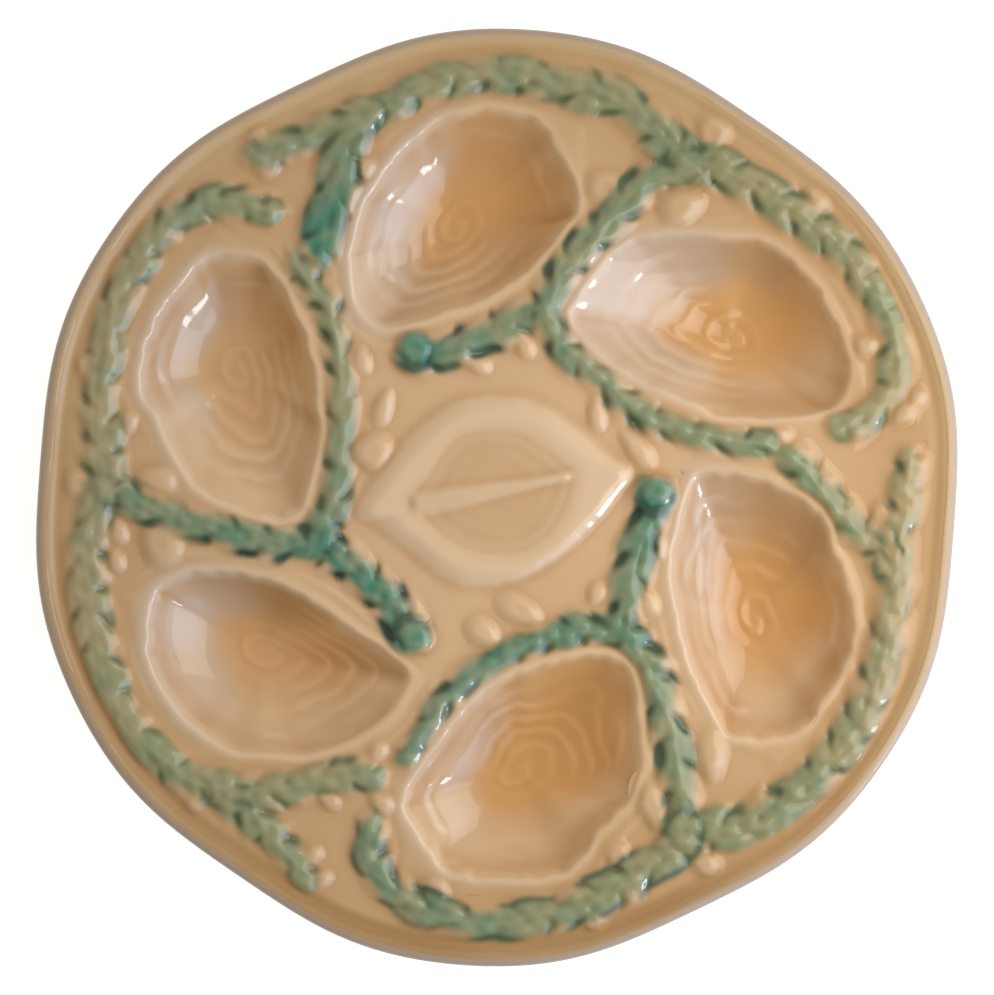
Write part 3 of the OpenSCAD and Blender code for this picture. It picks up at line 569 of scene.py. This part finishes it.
def press_knob(line, curl):
    """The round knob at a stem's inner end: a disc that rides on a dark crescent."""
    centre = line.points[int(KNOB_R * 0.6 / line.GAP)]
    opens = math.radians(curl)
    disc = centre - 1.5 * np.array([math.cos(opens), math.sin(opens)])
    window = face.window([centre], 9)
    x, y = face.x[window], face.y[window]
    distance, angle = polar(x, y, centre)
    from_disc = polar(x, y, disc)[0]
    distance = distance * (1 + 0.06 * np.sin(3 * angle + curl) + 0.04 * np.sin(5 * angle))
    from_disc = from_disc * (1 + 0.07 * np.sin(2 * angle + curl) + 0.04 * np.sin(5 * angle + 2))
    dome = KNOB_H * np.sqrt(np.clip(1 - (distance / (KNOB_R + 0.5)) ** 2.6, 0, 1))
    cap = KNOB_CAP_H * np.sqrt(np.clip(1 - (from_disc / (KNOB_R - 1.0)) ** 3, 0, 1))
    cap = cap - 0.4 * bell(from_disc, 2.2)
    groove = bell(from_disc - KNOB_R + 0.8, 0.65) * smooth(KNOB_R + 1.2, KNOB_R - 0.4, distance)
    turn = np.abs((angle - opens + math.pi) % TURN - math.pi)
    crescent = smooth(KNOB_R - 1.2, KNOB_R - 0.7, from_disc) * smooth(KNOB_R + 0.5, KNOB_R - 0.1, distance)
    crescent = crescent * smooth(1.5, 0.9, turn)
    groove = groove * smooth(2.3, 1.3, turn)
    face.raise_clay(window, np.maximum(dome - 0.9 * groove, cap))
    face.lay("deep", window, np.maximum(0.45 * groove, 0.6 * crescent))
    body = smooth(KNOB_R + 0.7, KNOB_R - 0.3, distance)
    face.lay("leaf", window, body)
    face.teal[window] = np.where(body > 0.02, 1.25, face.teal[window])


def press_bladder(x0, y0, half_length, half_width, turn, hollow=0):
    """A glossy drop, or a larger pod whose top is hollowed inside a rounded edge."""
    window = face.window([(x0, y0)], half_length + 3)
    dx, dy = face.x[window] - x0, face.y[window] - y0
    c, s = math.cos(math.radians(turn)), math.sin(math.radians(turn))
    ahead = (dx * c + dy * s) / (half_length + 0.6)
    r = np.hypot(ahead, (dy * c - dx * s) / ((half_width + 0.6) * (0.95 + 0.3 * ahead)))
    dome = (0.2 * half_width + 0.75) * smooth(1.12, 0.3, r) ** 0.7 * (1 - hollow * 0.5 * bell(r, 0.5))
    face.raise_clay(window, dome * face.clear(window, -3.5, -1.0))


def band_height(outwards):
    """Height of the rim above the bed, outwards from its foot: a faint groove, then a slope to a low bead."""
    rise = RIM_TOP - BED_TOP - 1.36
    return rise * smooth(1.7, 5.2, outwards) - 0.08 * bell(outwards - 1.9, 0.5)


for well in wells:
    press_well(well)
lemon_edge = press_lemon()
stems, outer_fronds, forks, rim_fronds, side_fronds = (
    [Line(marks) for marks in kind] for kind in (STEMS, OUTER_FRONDS, FORKS, RIM_FRONDS, SIDE_FRONDS))
# For the three plants, how blue the green is at the start and end of each length, and each fork's shape
OUTER_TEAL = [0.15, 0.4, 0.15]
RIM_TEAL = [(0.15, 0.15), (0.2, 0.6), (0.12, 0.25)]
FORK_TEAL = [(0.1, 1.4), (0.1, 0.1), (0.15, 0.25)]
SIDE_TEAL = [(0.5, 0.25), (0.9, 0.8), (0.5, 0.25)]
STEM_TEAL = [(0.6, 0.3), (0.85, 0.3), (1.25, 0.45)]
FORK_W = [6.4, 5.4, 5.4]
FORK_SEED = [0.9, 3.2, 5.5]
FORK_TAPER = [-0.05, 0.2, 0.2]
# How strongly painted shade darkens the edges of each fork and each rim frond
FORK_EDGE_SHADE = [0.4, 0, 0]
RIM_EDGE_SHADE = [0, 1.0, 0]
for k in range(3):
    press_frond(outer_fronds[k], OUTER_W, 1.3 * k + 0.2, 0.15, OUTER_TEAL[k], pits=0.75)
    press_frond(rim_fronds[k], RIM_FROND_W, 1.7 * k + 2.1, *RIM_TEAL[k], pits=0.65, dark=RIM_EDGE_SHADE[k])
    press_frond(forks[k], FORK_W[k], FORK_SEED[k], *FORK_TEAL[k], pits=0.7, taper=FORK_TAPER[k], lobes=0.32,
                dark=FORK_EDGE_SHADE[k])
    press_frond(side_fronds[k], SIDE_W, 1.1 * k + 4.4, *SIDE_TEAL[k], pits=0.8, lobes=0.26)
    press_frond(stems[k], STEM_W, 0.7 * k + 1.6, *STEM_TEAL[k], pits=1.1, taper=0, knob=True, lobes=0.24)
    press_knob(stems[k], KNOB_CURLS[k])
    for bladder in BLADDERS[k]:
        press_bladder(*bladder)
face.raise_clay(np.s_[:, :], band_height(-face.room))
face.fire()

# Pieces


def select_only(*pieces):
    bpy.ops.object.select_all(action="DESELECT")
    for piece in pieces:
        piece.select_set(True)
    bpy.context.view_layer.objects.active = pieces[0]


def add_grid(name, across, down, size=2):
    bpy.ops.object.select_all(action="DESELECT")
    bpy.ops.mesh.primitive_grid_add(x_subdivisions=across, y_subdivisions=down, size=size)
    piece = bpy.context.active_object
    piece.name = piece.data.name = name
    return piece


def face_outwards(weld=False):
    """Turns the active piece's faces outwards, after its seams are welded where that is asked."""
    bpy.ops.object.mode_set(mode="EDIT")
    bpy.ops.mesh.select_all(action="SELECT")
    if weld:
        bpy.ops.mesh.remove_doubles(threshold=0.002 * MM)
    bpy.ops.mesh.normals_make_consistent(inside=False)
    bpy.ops.object.mode_set(mode="OBJECT")


def places(piece):
    at = np.empty(len(piece.data.vertices) * 3)
    piece.data.vertices.foreach_get("co", at)
    return at.reshape(-1, 3) / MM


def put_places(piece, at):
    piece.data.vertices.foreach_set("co", (at * MM).astype(np.float32).ravel())


def wrap(name, rows, ring=False):
    """A closed solid through rings of places: a grid with one row for each ring, wrapped round and welded."""
    rows = np.array(rows)
    rows = np.concatenate([rows, rows[:, :1]], 1)
    if ring:
        rows = np.concatenate([rows, rows[:1]])
    piece = add_grid(name, rows.shape[1] - 1, rows.shape[0] - 1)
    put_places(piece, rows)
    piece.data.update()
    face_outwards(weld=True)
    return piece


def glaze_piece(piece, slot, nodes):
    """Gives a piece its masks, its glaze and its place in the frame."""
    at = places(piece)
    near = np.abs(at[:, 2] - BED_TOP - face.read("height", at)) < 0.4
    masks = {name: face.read(name, at) * near for name in ("pool", *face.FLOW)}
    outwards = -room_to_rim(at)
    masks["band"] = smooth(-1.5, 1.5, outwards)
    masks["lip"] = smooth(RIM_WIDTH - 2.6, RIM_WIDTH - 1.2, outwards)
    for name, value in masks.items():
        piece.data.attributes.new(name, "FLOAT", "POINT").data.foreach_set("value", value.astype(np.float32))
    select_only(piece)
    bpy.ops.object.shade_smooth_by_angle(angle=math.radians(50))
    piece.data.materials.clear()
    piece.data.materials.append(finishes[slot])
    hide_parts(*nodes)
    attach(piece, "root")


SKIRT_LIFT, SKIRT_SINK = 0.02, 0.08
SKIRT_W, LEMON_SKIRT_W = 5.2, 2.8
# Height at which the pieces close below, inside the bed
HIDDEN_Z = BED_TOP - 0.9


def on_face(xy, end=0):
    """Places on the glazed face. A skirt sinks under its neighbours towards its end."""
    z = BED_TOP + face.read("height", xy) + SKIRT_LIFT - SKIRT_SINK * end
    return np.concatenate([xy, z[..., None]], -1)


def level(xy, z):
    return np.concatenate([xy, np.full(xy.shape[:-1] + (1,), float(z))], -1)


def around(count):
    """Angles all the way round, and which way they point."""
    angle = np.linspace(-math.pi, math.pi, count, endpoint=False)
    return angle, np.stack([np.cos(angle), np.sin(angle)], 1)


def make_well(k):
    """One shell, through rings round its swirl: the basin, the edge, a skirt, a neck and the underside."""
    well = wells[k]
    angle, ahead = around(300)
    basin, outer = well.basin.at(angle)[:, None], well.outer.at(angle)[:, None]
    middle = np.array(well.swirl, float)
    rows = [on_face(middle + ahead * basin * u) for u in np.linspace(0, 1, 76) ** 0.9]
    rows += [on_face(middle + ahead * (basin + (outer - basin) * u)) for u in np.linspace(0, 1, 11)[1:]]
    for out in np.linspace(0, SKIRT_W, 14)[1:]:
        skirt = draw_in(middle + ahead * (outer + out), middle)
        rows.append(on_face(skirt, smooth(3, SKIRT_W, out)))
    neck = middle + ahead * (outer - 0.6)
    rows += [level(skirt, HIDDEN_Z), level(neck, HIDDEN_Z - 0.2), level(neck, BED_LOW + 0.5)]
    for out, dip in ((2.4, 0.02), (1.5, 0.1), (0.8, 0.4)):
        rows.append(level(middle + ahead * (outer + out), BED_LOW - dip))
    for u in np.linspace(1, 0, 30):
        z = BED_LOW - 0.9 - (WELL_DEPTH - 0.9) * (1 - u ** 4.2) ** 0.8
        rows.append(level(middle + ahead * outer * u, z))
    glaze_piece(wrap(f"oyster_shell_{k + 1}", rows), "well_glaze", [f"oyster_well_{k + 1}"])


def draw_in(ring, middle):
    """Keeps a skirt off the rim's lip."""
    over = np.clip(-room_to_rim(ring) - 1.0, 0, None)[:, None]
    away = ring - middle
    return ring - over * away / np.linalg.norm(away, axis=1)[:, None]


def make_lemon():
    angle, ahead = around(260)
    reach = lemon_edge.at(angle)[:, None]
    middle = np.array(LEMON_MIDDLE, float)
    rows = [on_face(middle + ahead * reach * u) for u in np.linspace(0, 1, 64)[:-1]]
    for out in np.linspace(0, LEMON_SKIRT_W, 7):
        skirt = middle + ahead * (reach + out)
        rows.append(on_face(skirt, smooth(1, LEMON_SKIRT_W, out)))
    rows += [level(skirt, HIDDEN_Z), level(middle + ahead * 0, HIDDEN_Z)]
    glaze_piece(wrap("lemon_dish_relief", rows), "lemon_glaze", ["lemon_dish"])


def make_frond(name, node, lines, k, slot="frond_glaze"):
    """A band over the frond's line that follows the face, closed below inside the bed."""
    line = lines[k]
    steps = np.arange(-BAND, line.length + BAND + 0.01, 0.5)
    base = np.clip(steps, 0, line.length)
    index = np.clip(base / line.GAP, 0, len(line.points) - 1)

    def pick(table):
        return np.stack([np.interp(index, np.arange(len(table)), table[:, c]) for c in (0, 1)], 1)

    middle = pick(line.points) + pick(line.ahead) * (steps - base)[:, None]
    left = pick(line.left)
    left /= np.linalg.norm(left, axis=1)[:, None]
    over = np.abs(steps - base)
    width = np.sqrt(np.clip(BAND ** 2 - over ** 2, 0, None))
    bend = np.interp(index, np.arange(len(line.bend)), line.bend)
    across = np.linspace(-1, 1, 37)
    limit = {}
    for side in (-1, 1):
        trial = np.linspace(0, 1, 25)[None, :] * width[:, None]
        spot = middle[:, None] + side * trial[..., None] * left[:, None]
        clear = face.read("gap", spot) > -0.7
        clear &= room_to_rim(spot) > -1.0
        clear &= np.clip(side * bend[:, None] * trial, None, 1) < 0.8
        free = np.where(clear.all(1), 1, clear.argmin(1) / 24)
        free = np.minimum.reduce([np.roll(free, s) for s in (-2, -1, 0, 1, 2)])
        limit[side] = np.convolve(np.pad(free, 2, mode="edge"), np.ones(5) / 5, "valid") * width
    offset = np.where(across < 0, limit[-1][:, None], limit[1][:, None]) * across
    plan = middle[:, None] + offset[..., None] * left[:, None]
    end = np.maximum(smooth(0.75, 1, np.abs(across))[None, :], smooth(BAND - 2, BAND, over)[:, None])
    under = level(plan[:, [-1, len(across) // 2, 0]], HIDDEN_Z)
    rows = np.concatenate([on_face(plan, end), under], 1)
    glaze_piece(wrap(f"{name}_{k + 1}", rows), slot, [f"{node}_{k + 1}"])


def make_bladders(k):
    angle = np.linspace(0, TURN, 36, endpoint=False)
    drops = []
    for drop, (x0, y0, half_length, half_width, turn, *_) in enumerate(BLADDERS[k]):
        c, s = math.cos(math.radians(turn)), math.sin(math.radians(turn))
        rows = []
        for n, u in enumerate(np.linspace(0, 1.3, 15)):
            a, b = u * (half_length + 0.6) * np.cos(angle), u * (half_width + 0.6) * np.sin(angle)
            ring = np.stack([x0 + a * c - b * s, y0 + a * s + b * c], 1)
            rows.append(on_face(ring, smooth(9, 14, n)))
        rows += [level(ring, HIDDEN_Z), level(rows[0][:, :2], HIDDEN_Z)]
        drops.append(wrap(f"drop_{k + 1}_{drop + 1}", rows))
    select_only(*drops)
    bpy.ops.object.join()
    drops[0].name = drops[0].data.name = f"glossy_bladders_{k + 1}"
    glaze_piece(drops[0], "bladder_glaze", [f"bladders_{k + 1}"])


def make_rim():
    """The scalloped rim: a gentle rise to a low rounded bead, whose lip turns under and back to the bed."""
    angle, ahead = around(540)
    edge = edge_r(angle)[:, None]

    def ring(out):
        return ahead * (edge - RIM_WIDTH + out)

    rows = [on_face(ring(out)) for out in np.linspace(-3, 4.6, 26)]
    for turn in np.radians(np.linspace(104, -75, 22)):
        out = RIM_WIDTH - LIP_R + LIP_R * math.cos(turn)
        z = RIM_TOP - LIP_R + LIP_R * math.sin(turn)
        rows.append(level(ring(out), z))
    for t in np.linspace(0, 1, 12)[1:]:
        fall = (BED_LOW - z) * smooth(0, 1, t * 0.6) / smooth(0, 1, 0.6)
        rows.append(level(ring(out + (-1 - out) * t), z + fall))
    for inside, height in ((-2.6, BED_LOW - 0.02), (-1.2, BED_LOW + 0.5), (-1.2, HIDDEN_Z), (-3, HIDDEN_Z)):
        rows.append(level(ring(inside), height))
    glaze_piece(wrap("rim_band", rows, ring=True), "rim_glaze", ["scalloped_rim"])


FOOT_ROOT_W, FOOT_FACE_W, FOOT_SOFT = 6.0, 3.2, 0.6


def make_foot():
    """The foot ring: glazed sides, softly rounded, and the bare face that the plate stands on."""
    outer = span("foot_ring")[1][0]
    ahead = around(220)[1]
    side = (FOOT_ROOT_W - FOOT_FACE_W) / 2
    soft = FOOT_SOFT
    half = [
        (outer + 1.6, BED_LOW - 0.02), (outer + 0.7, BED_LOW - 0.25), (outer + 0.15, BED_LOW - 0.9),
        (outer - 0.1, BED_LOW - 2), (outer - side * 0.5, BED_LOW / 2), (outer - side * 0.9, soft * 1.6),
        (outer - side - soft * 0.1, soft * 0.7), (outer - side - soft * 0.4, soft * 0.2),
        (outer - side - soft, 0)]
    centre = outer - FOOT_ROOT_W / 2
    section = half + [(2 * centre - r, z) for r, z in half[::-1]]
    section += [(centre - 2, BED_LOW + 1), (centre + 2, BED_LOW + 1)]
    rows = []
    for r, z in section:
        wave = 0.08 * waves(r * ahead[:, 0], r * ahead[:, 1], 25, 91)[:, None] * (0 < z < BED_LOW - 0.5)
        rows.append(level(ahead * (r + wave), z))
    glaze_piece(wrap("foot_rim", rows, ring=True), "bare_clay", ["foot_ring"])


BED_HALF, BED_CELLS = 119.0, 198
# How far the bed reaches under the rim, and under the edge of a well
UNDER_RIM, UNDER_WELL = 0.6, 1.4


def make_bed():
    """The bed: a slab cut round each well, from a fine grid whose edges are drawn onto the cuts."""
    bed = add_grid("honey_bed", BED_CELLS, BED_CELLS, 2 * BED_HALF * MM)

    def gaps(at):
        found = [room_to_rim(at) + UNDER_RIM]
        for well in wells:
            distance, angle = polar(at[:, 0], at[:, 1], well.swirl)
            found.append(distance - well.outer.at(angle) + UNDER_WELL)
        return np.array(found)

    bpy.ops.object.mode_set(mode="EDIT")
    bpy.ops.mesh.select_mode(type="VERT")
    bpy.ops.mesh.select_all(action="DESELECT")
    bpy.ops.object.mode_set(mode="OBJECT")
    bed.data.vertices.foreach_set("select", (gaps(places(bed)) < 0).any(0))
    bpy.ops.object.mode_set(mode="EDIT")
    bpy.ops.mesh.delete(type="VERT")
    bpy.ops.mesh.select_non_manifold()
    bpy.ops.object.mode_set(mode="OBJECT")
    at = places(bed)
    edge = np.zeros(len(at), bool)
    bed.data.vertices.foreach_get("select", edge)
    nearest = gaps(at).argmin(0)
    for n, well in enumerate([None] + wells):
        moved = edge & (nearest == n)
        middle = well.swirl if well else (0, 0)
        angle = polar(at[moved, 0], at[moved, 1], middle)[1]
        cut = well.outer.at(angle) - UNDER_WELL if well else edge_r(angle) - RIM_WIDTH + UNDER_RIM
        at[moved, 0] = middle[0] + cut * np.cos(angle)
        at[moved, 1] = middle[1] + cut * np.sin(angle)
    at[:, 2] = BED_TOP + face.read("bed", at)
    put_places(bed, at)
    top_count = len(at)
    select_only(bed)
    slab = bed.modifiers.new("thickness", "SOLIDIFY")
    slab.thickness = (BED_TOP - BED_LOW) * MM
    slab.offset = -1
    bpy.ops.object.modifier_apply(modifier=slab.name)
    at = places(bed)
    at[top_count:] = at[:top_count]
    at[top_count:, 2] = BED_LOW
    put_places(bed, at)
    face_outwards()
    glaze_piece(bed, "honey_glaze", ["plate_bed"])


# Glazes


def paint(*shares):
    """A colour as it looks on a screen, in parts of 255, as light."""
    shares = [share / 255 for share in shares]
    return (*(c / 12.92 if c <= 0.04045 else ((c + 0.055) / 1.055) ** 2.4 for c in shares), 1)


def operator(operation):
    """A sum between two values, and the same sum with its sides swapped."""
    return (
        lambda one, two: one.maths(operation, one, two),
        lambda one, two: one.maths(operation, two, one))


class Value:
    """A number or colour in a glaze's recipe."""

    def __init__(self, recipe, socket):
        self.recipe = recipe
        self.socket = socket

    def maths(self, operation, first, second=None, clamp=False):
        values = {0: first} if second is None else {0: first, 1: second}
        return self.recipe.node("ShaderNodeMath", values, operation=operation, use_clamp=clamp)

    __add__, __radd__ = operator("ADD")
    __sub__, __rsub__ = operator("SUBTRACT")
    __mul__, __rmul__ = operator("MULTIPLY")

    def clamp(self):
        return self.maths("ADD", self, 0, clamp=True)


class Recipe:
    """One finish, written as sums of values."""

    def __init__(self, tree, place="Object"):
        self.tree = tree
        self.tree.nodes.clear()
        self.place = self.node("ShaderNodeTexCoord", out=place)

    def node(self, kind, inputs=None, out=0, **settings):
        made = self.tree.nodes.new(kind)
        for key, value in settings.items():
            setattr(made, key, value)
        for key, value in (inputs or {}).items():
            if isinstance(value, Value):
                self.tree.links.new(value.socket, made.inputs[key])
            else:
                made.inputs[key].default_value = value
        return made if out is None else Value(self, made.outputs[out])

    def mask(self, name):
        return self.node("ShaderNodeAttribute", out="Fac", attribute_name=name)

    def cloud(self, size, detail=3, seed=0):
        """Soft unevenness between 0 and 1, about size millimetres across."""
        offset = (seed, seed * 0.7, seed * 1.3)
        spot = self.node("ShaderNodeMapping", {"Vector": self.place, "Location": offset})
        inputs = {"Vector": spot, "Scale": 1 / (size * MM), "Detail": detail}
        return self.node("ShaderNodeTexNoise", inputs, out="Fac")

    def towards(self, direction):
        """How far a place lies in a direction."""
        inputs = {0: self.place, 1: direction}
        return self.node("ShaderNodeVectorMath", inputs, out="Value", operation="DOT_PRODUCT")

    def mix(self, share, first, second):
        return self.node("ShaderNodeMix", {0: share, 6: first, 7: second}, out=2, data_type="RGBA")

    def bump(self, strength, distance, height):
        inputs = {"Strength": strength, "Distance": distance * MM, "Height": height}
        return self.node("ShaderNodeBump", inputs, out="Normal")

    def finish(self, kind, surface):
        self.node(kind, {"Surface": surface}, out=None)


def new_material(name):
    """A material, and the recipe for it."""
    material = bpy.data.materials.new(name)
    material.use_nodes = True
    return material, Recipe(material.node_tree)


HONEY = paint(201, 162, 119)
SAND = paint(196, 154, 108)
PALE = paint(214, 184, 152)
AMBER = paint(172, 122, 68)
BASIN = paint(200, 144, 79)
DEEP_HONEY = paint(183, 144, 97)
SHADED = paint(170, 131, 88)
WALL = paint(207, 170, 126)
OCHRE = paint(185, 151, 106)
# Darker ochre, for the rim's random tone and its painted shade to the south
DARK_OCHRE = paint(152, 114, 66)
# Pale glaze of the lemon, also used as painted light on the wells' lit walls
LEMON_PALE_AND_LIT = paint(212, 180, 144)
# Painted sheen on the wells' walls
PAINTED_SHEEN = paint(190, 166, 145)
LIP = paint(170, 148, 126)
SAGE = paint(134, 129, 87)
PALE_SAGE = paint(154, 149, 108)
OLIVE = paint(106, 104, 60)
TEAL = paint(48, 108, 82)
PALE_TEAL = paint(98, 138, 112)
FOREST = paint(18, 74, 52)
MOSS_PIT = paint(74, 92, 58)
INK = paint(2, 36, 24)


def glaze(name):
    """Honey glaze over cream clay: amber where it pools, pale where it is thin, and brushed with greens; with
    painted shade, painted light and a painted sheen in places.
    """
    material, recipe = new_material(name)
    pool = recipe.mask("pool") + (recipe.cloud(9) - 0.5) * 0.35
    deep_pool = pool.clamp()
    thin = (pool * -1.0).clamp()
    amber = recipe.mask("amber")
    band, lip = recipe.mask("band"), recipe.mask("lip")
    leaf, teal, deep = recipe.mask("leaf"), recipe.mask("teal"), recipe.mask("deep")
    broad = recipe.cloud(38, 2, 4)
    body = recipe.mix(((broad - 0.35) * 0.9).clamp(), HONEY, SAND)
    # The bed turns darker further from the middle, with a random tone mixed in
    away = recipe.node("ShaderNodeVectorMath", {0: recipe.place}, out="Value", operation="LENGTH") * (1 / MM)
    body = recipe.mix(((away - 58) * 0.019 + (broad - 0.5) * 0.4).clamp(), body, DEEP_HONEY)
    # The wells' amber glaze, with amber painted shade on one side of their walls
    body = recipe.mix((amber * 3.0).clamp(), body, WALL)
    body = recipe.mix((amber * 1.3 - 0.35 + (broad - 0.5) * 0.5).clamp(), body, BASIN)
    # Painted shade on the wells' darkest walls; the lemon's hollow is darkened by the same mix
    body = recipe.mix(recipe.mask("shade"), body, SHADED)
    # Painted sheen on the wells' walls, standing in for a window's reflection
    body = recipe.mix(recipe.mask("painted_sheen"), body, PAINTED_SHEEN)
    # The lemon's pale glaze, and painted light on the wells' lit walls
    body = recipe.mix(recipe.mask("pale"), body, LEMON_PALE_AND_LIT)
    # The rim's ochre darkens towards the south as painted shade, with a random darker tone mixed in
    south = recipe.towards((-0.25, -0.97, 0)) * (1 / MM)
    run = (south * 0.006 + 0.25 + (recipe.cloud(45, 2, 11) - 0.5) * 1.2).clamp()
    body = recipe.mix(band, body, recipe.mix(run, OCHRE, DARK_OCHRE))
    body = recipe.mix(lip, body, LIP)
    body = recipe.mix((deep_pool * 0.6).clamp(), body, AMBER)
    body = recipe.mix((thin * 0.26).clamp(), body, PALE)
    hue = (teal + (recipe.cloud(11, 3, 7) - 0.5) * 1.1).clamp()
    green = recipe.mix(hue, SAGE, TEAL)
    green = recipe.mix((deep_pool * 1.3).clamp(), green, recipe.mix(hue, OLIVE, FOREST))
    green = recipe.mix((thin * 0.6).clamp(), green, recipe.mix(hue, PALE_SAGE, PALE_TEAL))
    across = recipe.node("ShaderNodeSeparateXYZ", {0: recipe.place}, out="X") * (1 / MM)
    worn = ((across.maths("ABSOLUTE", across) - 93) * 0.08).clamp()
    brushed = leaf * (0.46 + recipe.cloud(8, 4, 9) * 0.95 - worn * 0.28)
    colour = recipe.mix(brushed.clamp(), body, green)
    # Dark green in the pits and knob curls, and along the frond edges, where it is partly pooled glaze and
    # partly painted shade
    colour = recipe.mix((deep * 1.2).clamp(), colour, recipe.mix(hue, MOSS_PIT, INK))
    flow = recipe.cloud(7, 2, 5)
    surface = recipe.node("ShaderNodeBsdfPrincipled", {
        "Base Color": colour, "Roughness": 0.38 + recipe.cloud(12, 2, 3) * 0.12,
        "Normal": recipe.bump(0.16, 0.12, flow + recipe.cloud(0.9, 2, 2) * 0.05), "IOR": 1.5,
        "Specular IOR Level": 0.2, "Coat Weight": 0.75 + flow * 0.25 - band * 0.25 - lip * 0.35,
        "Coat Roughness": 0.08, "Coat IOR": 1.5})
    recipe.finish("ShaderNodeOutputMaterial", surface)
    return material


def bare_clay():
    """Cream clay, matt and a little dusty where the foot stands, glazed above."""
    material, recipe = new_material("bare_clay")
    height = recipe.node("ShaderNodeSeparateXYZ", {0: recipe.place}, out="Z")
    glazed = ((height * (1 / MM) - 0.9 + recipe.cloud(5, 3, 1) * 0.8) * 1.6).clamp()
    dust = recipe.cloud(1.6, 4, 6)
    clay = recipe.mix((dust * 1.1).clamp(), paint(214, 198, 172), paint(178, 158, 128))
    clay = recipe.mix((recipe.cloud(16, 2, 8) - 0.3).clamp(), clay, paint(150, 128, 98))
    coat = recipe.mix(recipe.cloud(20, 2, 3), HONEY, paint(196, 152, 104))
    surface = recipe.node("ShaderNodeBsdfPrincipled", {
        "Base Color": recipe.mix(glazed, clay, coat), "Roughness": 0.85 - glazed * 0.55,
        "Normal": recipe.bump(0.5, 0.1, dust), "Coat Weight": glazed * 0.8, "Coat Roughness": 0.08})
    recipe.finish("ShaderNodeOutputMaterial", surface)
    return material


def table_top():
    """A plain white table that keeps the plate's shadow."""
    material, recipe = new_material("white_table")
    seen = recipe.node("ShaderNodeLightPath", out="Is Camera Ray")
    mirrored = recipe.node("ShaderNodeLightPath", out="Is Glossy Ray")
    surface = recipe.node("ShaderNodeBsdfPrincipled", {
        "Base Color": (0.8, 0.8, 0.8, 1), "Roughness": 0.9, "Specular IOR Level": 0,
        "Emission Color": recipe.mix((seen + mirrored).clamp(), (0, 0, 0, 1), (0.66, 0.66, 0.66, 1)),
        "Emission Strength": 1})
    recipe.finish("ShaderNodeOutputMaterial", surface)
    return material


finishes = {name: glaze(name) for name in (
    "honey_glaze", "rim_glaze", "well_glaze", "lemon_glaze", "stem_glaze", "frond_glaze", "bladder_glaze")}
finishes["bare_clay"] = bare_clay()

make_bed()
make_rim()
make_foot()
make_lemon()
for k in range(len(WELLS)):
    make_well(k)
for k in range(3):
    make_frond("seaweed_stem", "stem", stems, k, "stem_glaze")
    make_frond("outer_seaweed", "outer_frond", outer_fronds, k)
    make_frond("forked_seaweed", "fork_frond", forks, k)
    make_frond("rim_seaweed", "rim_frond", rim_fronds, k)
    make_frond("side_seaweed", "side_frond", side_fronds, k)
    make_bladders(k)

# Table, light and camera

WINDOWS = (-24, 21)
FRAME_WIDTH, CAMERA_HEIGHT = 259.33, 1500.0
CAMERA_TURN = math.radians(4.4)


def make_table():
    bpy.ops.object.select_all(action="DESELECT")
    bpy.ops.mesh.primitive_plane_add(size=6)
    table = bpy.context.active_object
    table.name = table.data.name = "table"
    table.data.materials.append(table_top())


def aim(thing, place, target=(0, 0, 0.02)):
    thing.location = place
    thing.rotation_euler = (Vector(target) - Vector(place)).to_track_quat("-Z", "Y").to_euler()


def lamp(name, azimuth, elevation, distance, size, glow, colour):
    """A softbox of this size, as bright as glow times a white wall."""
    bpy.ops.object.light_add(type="AREA")
    light = bpy.context.active_object
    light.name = name
    light.data.shape = "RECTANGLE"
    light.data.size, light.data.size_y = size
    light.data.energy = glow * math.pi * size[0] * size[1]
    light.data.color = colour
    aim(light, [distance * part for part in toward(azimuth, elevation)])


def toward(azimuth, elevation):
    a, e = math.radians(azimuth), math.radians(elevation)
    return math.cos(a) * math.cos(e), math.sin(a) * math.cos(e), math.sin(e)


def make_world():
    """A pale warm room, darkest in the southwest, with a broad cool glow where its windows are."""
    world = bpy.data.worlds.new("pale_room")
    world.use_nodes = True
    bpy.context.scene.world = world
    recipe = Recipe(world.node_tree, "Generated")

    def facing(direction, start, end):
        """How far each part of the room faces a direction: 0 at one angle from it, 1 at the other."""
        low, high = math.cos(math.radians(start)), math.cos(math.radians(end))
        inputs = {"Value": recipe.towards(toward(*direction)), "From Min": low, "From Max": high}
        return recipe.node("ShaderNodeMapRange", inputs, interpolation_type="SMOOTHSTEP")

    room = recipe.mix(facing((80, 20), 150, 40), (0.36, 0.33, 0.28, 1), (0.82, 0.8, 0.74, 1))
    room = recipe.mix(facing(WINDOWS, 46, 10), room, (0.85, 1.4, 2.3, 1))
    seen = recipe.node("ShaderNodeLightPath", out="Is Camera Ray")
    recipe.finish("ShaderNodeOutputWorld", recipe.node(
        "ShaderNodeBackground", {"Color": recipe.mix(seen, room, (1, 1, 1, 1))}))


def make_camera():
    """Straight above the plate, turned as the plate lies in the photograph."""
    place = (0, 0, (CAMERA_HEIGHT + RIM_TOP) * MM)
    bpy.ops.object.camera_add(location=place, rotation=(0, 0, CAMERA_TURN))
    camera = bpy.context.active_object
    camera.data.sensor_width = 36
    camera.data.lens = camera.data.sensor_width * CAMERA_HEIGHT / FRAME_WIDTH
    bpy.context.scene.camera = camera


make_table()
make_world()
lamp("window_core", -31, 18, 0.7, (0.12, 0.15), 14, (0.92, 0.97, 1.0))
lamp("soft_panel", 2, 44, 0.3, (0.28, 0.28), 2.1, (1.0, 0.95, 0.87))
make_camera()
bpy.context.scene.view_settings.view_transform = "Standard"
